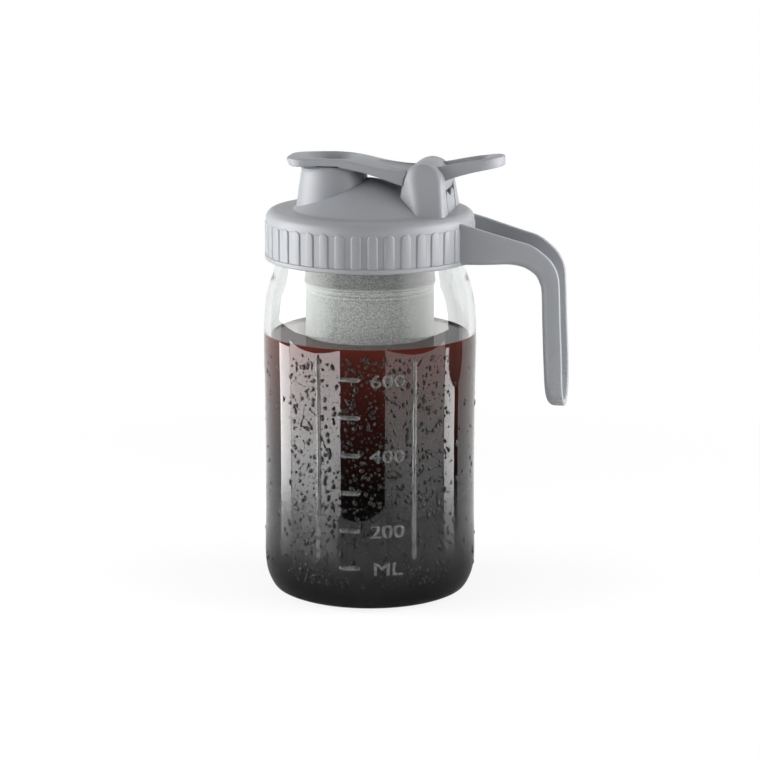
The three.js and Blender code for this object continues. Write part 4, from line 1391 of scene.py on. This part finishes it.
plug = turned("cap_plug", metres([
    (0, 184.7), (11.2, 184.7), (11.6, 185.1), (11.6, 187.5), (11.1, 187.7), (11.1, 189.1), (11.7, 189.3),
    (12.1, 191.6), (0, 191.6),
]))
pocket = turned("spout_pocket", metres([(11.8, 180), (14.95, 180), (14.95, 190.85), (11.8, 190.85)]))
well, plug, pocket = (moved(mesh, x=spout_x) for mesh in (well, plug, pocket))
cap_plate = cut(cut(cap_plate, pocket), plug, operation="UNION")
cap_plate = cut(cut(cap_plate, well), dish)
gap_profile = [
    (0, neck_half), (ear_clear, neck_half), (ear_clear, 0.0132), (ear_clear - 0.0011, 0.0144),
    (ear_clear - 0.0011, 0.02), (0, 0.02),
]
for side in (-1, 1):
    cap_plate = cut(cap_plate, on_hinge(turned("ear_gap", gap_profile), side))
cap_plate = softened(cap_plate, soft_edge, 14)
cap_neck = moved(cut(cap_neck, dish), z=-neck_drop)
round_line = arc((barrel_x, barrel_z), barrel_radius, -19.5, 199.5, 44)
ends = [(-neck_half, 0.0004), (-neck_half + 0.0001, 0.0001), (-neck_half + 0.0004, 0)]
rings = []
for y, inward in [*ends, *[(-y, inward) for y, inward in reversed(ends)]]:
    rings.append([(x, y, z) for x, z in inset(round_line, inward)])
barrel = lofted("cap_barrel", rings)
pins = turned("cap_pins", metres([
    (0, -12.9), (2.2, -12.9), (2.5, -12.6), (2.5, 12.6), (2.2, 12.9), (0, 12.9),
]))
cap = joined("cap_lid", [cap_plate, cap_neck, barrel, on_hinge(pins)])
cap = shown("cap_lid", cap, plastic, "cap", sharp=30)
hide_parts("flip_cap")

# Finger loop: an oval ring behind the hinge, moulded in one with the cap.
# A finger pushes it down to open the cap, or it hangs on a hook.
loop_half = 0.009
loop_wall = 0.001
loop_tip_wall = 0.0025
loop_root = 0.029
loop_tip = 0.0569
loop_round = 0.0006
loop_steps = 12
loop_end_steps = 32
loop_top = metres([
    (28, 190.5), (35, 191.8), (41, 193.0), (46, 193.9), (51, 194.6), (55.8, 195.5), (61, 195.6),
])
loop_under = metres([
    (28, 183.4), (34.2, 184.9), (40, 187.0), (45.9, 188.7), (51, 189.9), (54.6, 190.7), (61, 192.4),
])
loop_line = []
for step in range(loop_steps):
    loop_line.append((loop_root + (loop_tip - loop_half - loop_root) * step / loop_steps, -loop_half))
for step in range(loop_end_steps + 1):
    angle = math.pi * step / loop_end_steps - math.pi / 2
    loop_line.append((loop_tip - loop_half + loop_half * math.cos(angle), loop_half * math.sin(angle)))
loop_line += mirrored(loop_line[:loop_steps])
rings = []
top_line = smooth_through(loop_top)
under_line = smooth_through(loop_under)
for before, here, after in zip([loop_line[0], *loop_line], loop_line, [*loop_line[1:], loop_line[-1]]):
    way = (Vector(after) - Vector(before)).normalized()
    across = Vector((way.y, -way.x))
    share = max(0, min(1, (here[0] - loop_tip + loop_half) / loop_half))
    wall = loop_wall + (loop_tip_wall - loop_wall) * share ** 2
    top = level_at(top_line, here[0])
    under = level_at(under_line, here[0])
    corners = [(-wall, under), (wall, under), (wall, top), (-wall, top)]
    section = filleted([(*corner, loop_round) for corner in corners], steps=4)
    rings.append([(here[0] + across.x * out, here[1] + across.y * out, up) for out, up in section])
loop = shown("finger_loop", lofted("finger_loop", rings), plastic, "cap")
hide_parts("carry_loop")

# Plug seal: a round silicone ring in the plug's groove, which closes the spout's bore.
# It is stretched over the plug and stays there.
profile = filleted(metres([(10.9, 187.65, 0.2), (12, 187.65, 0.7), (12, 189.15, 0.7), (10.9, 189.15, 0.2)]))
plug_ring = shown("plug_seal", moved(turned("plug_seal", profile), x=spout_x), silicone, "cap")
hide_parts("spout_seal")
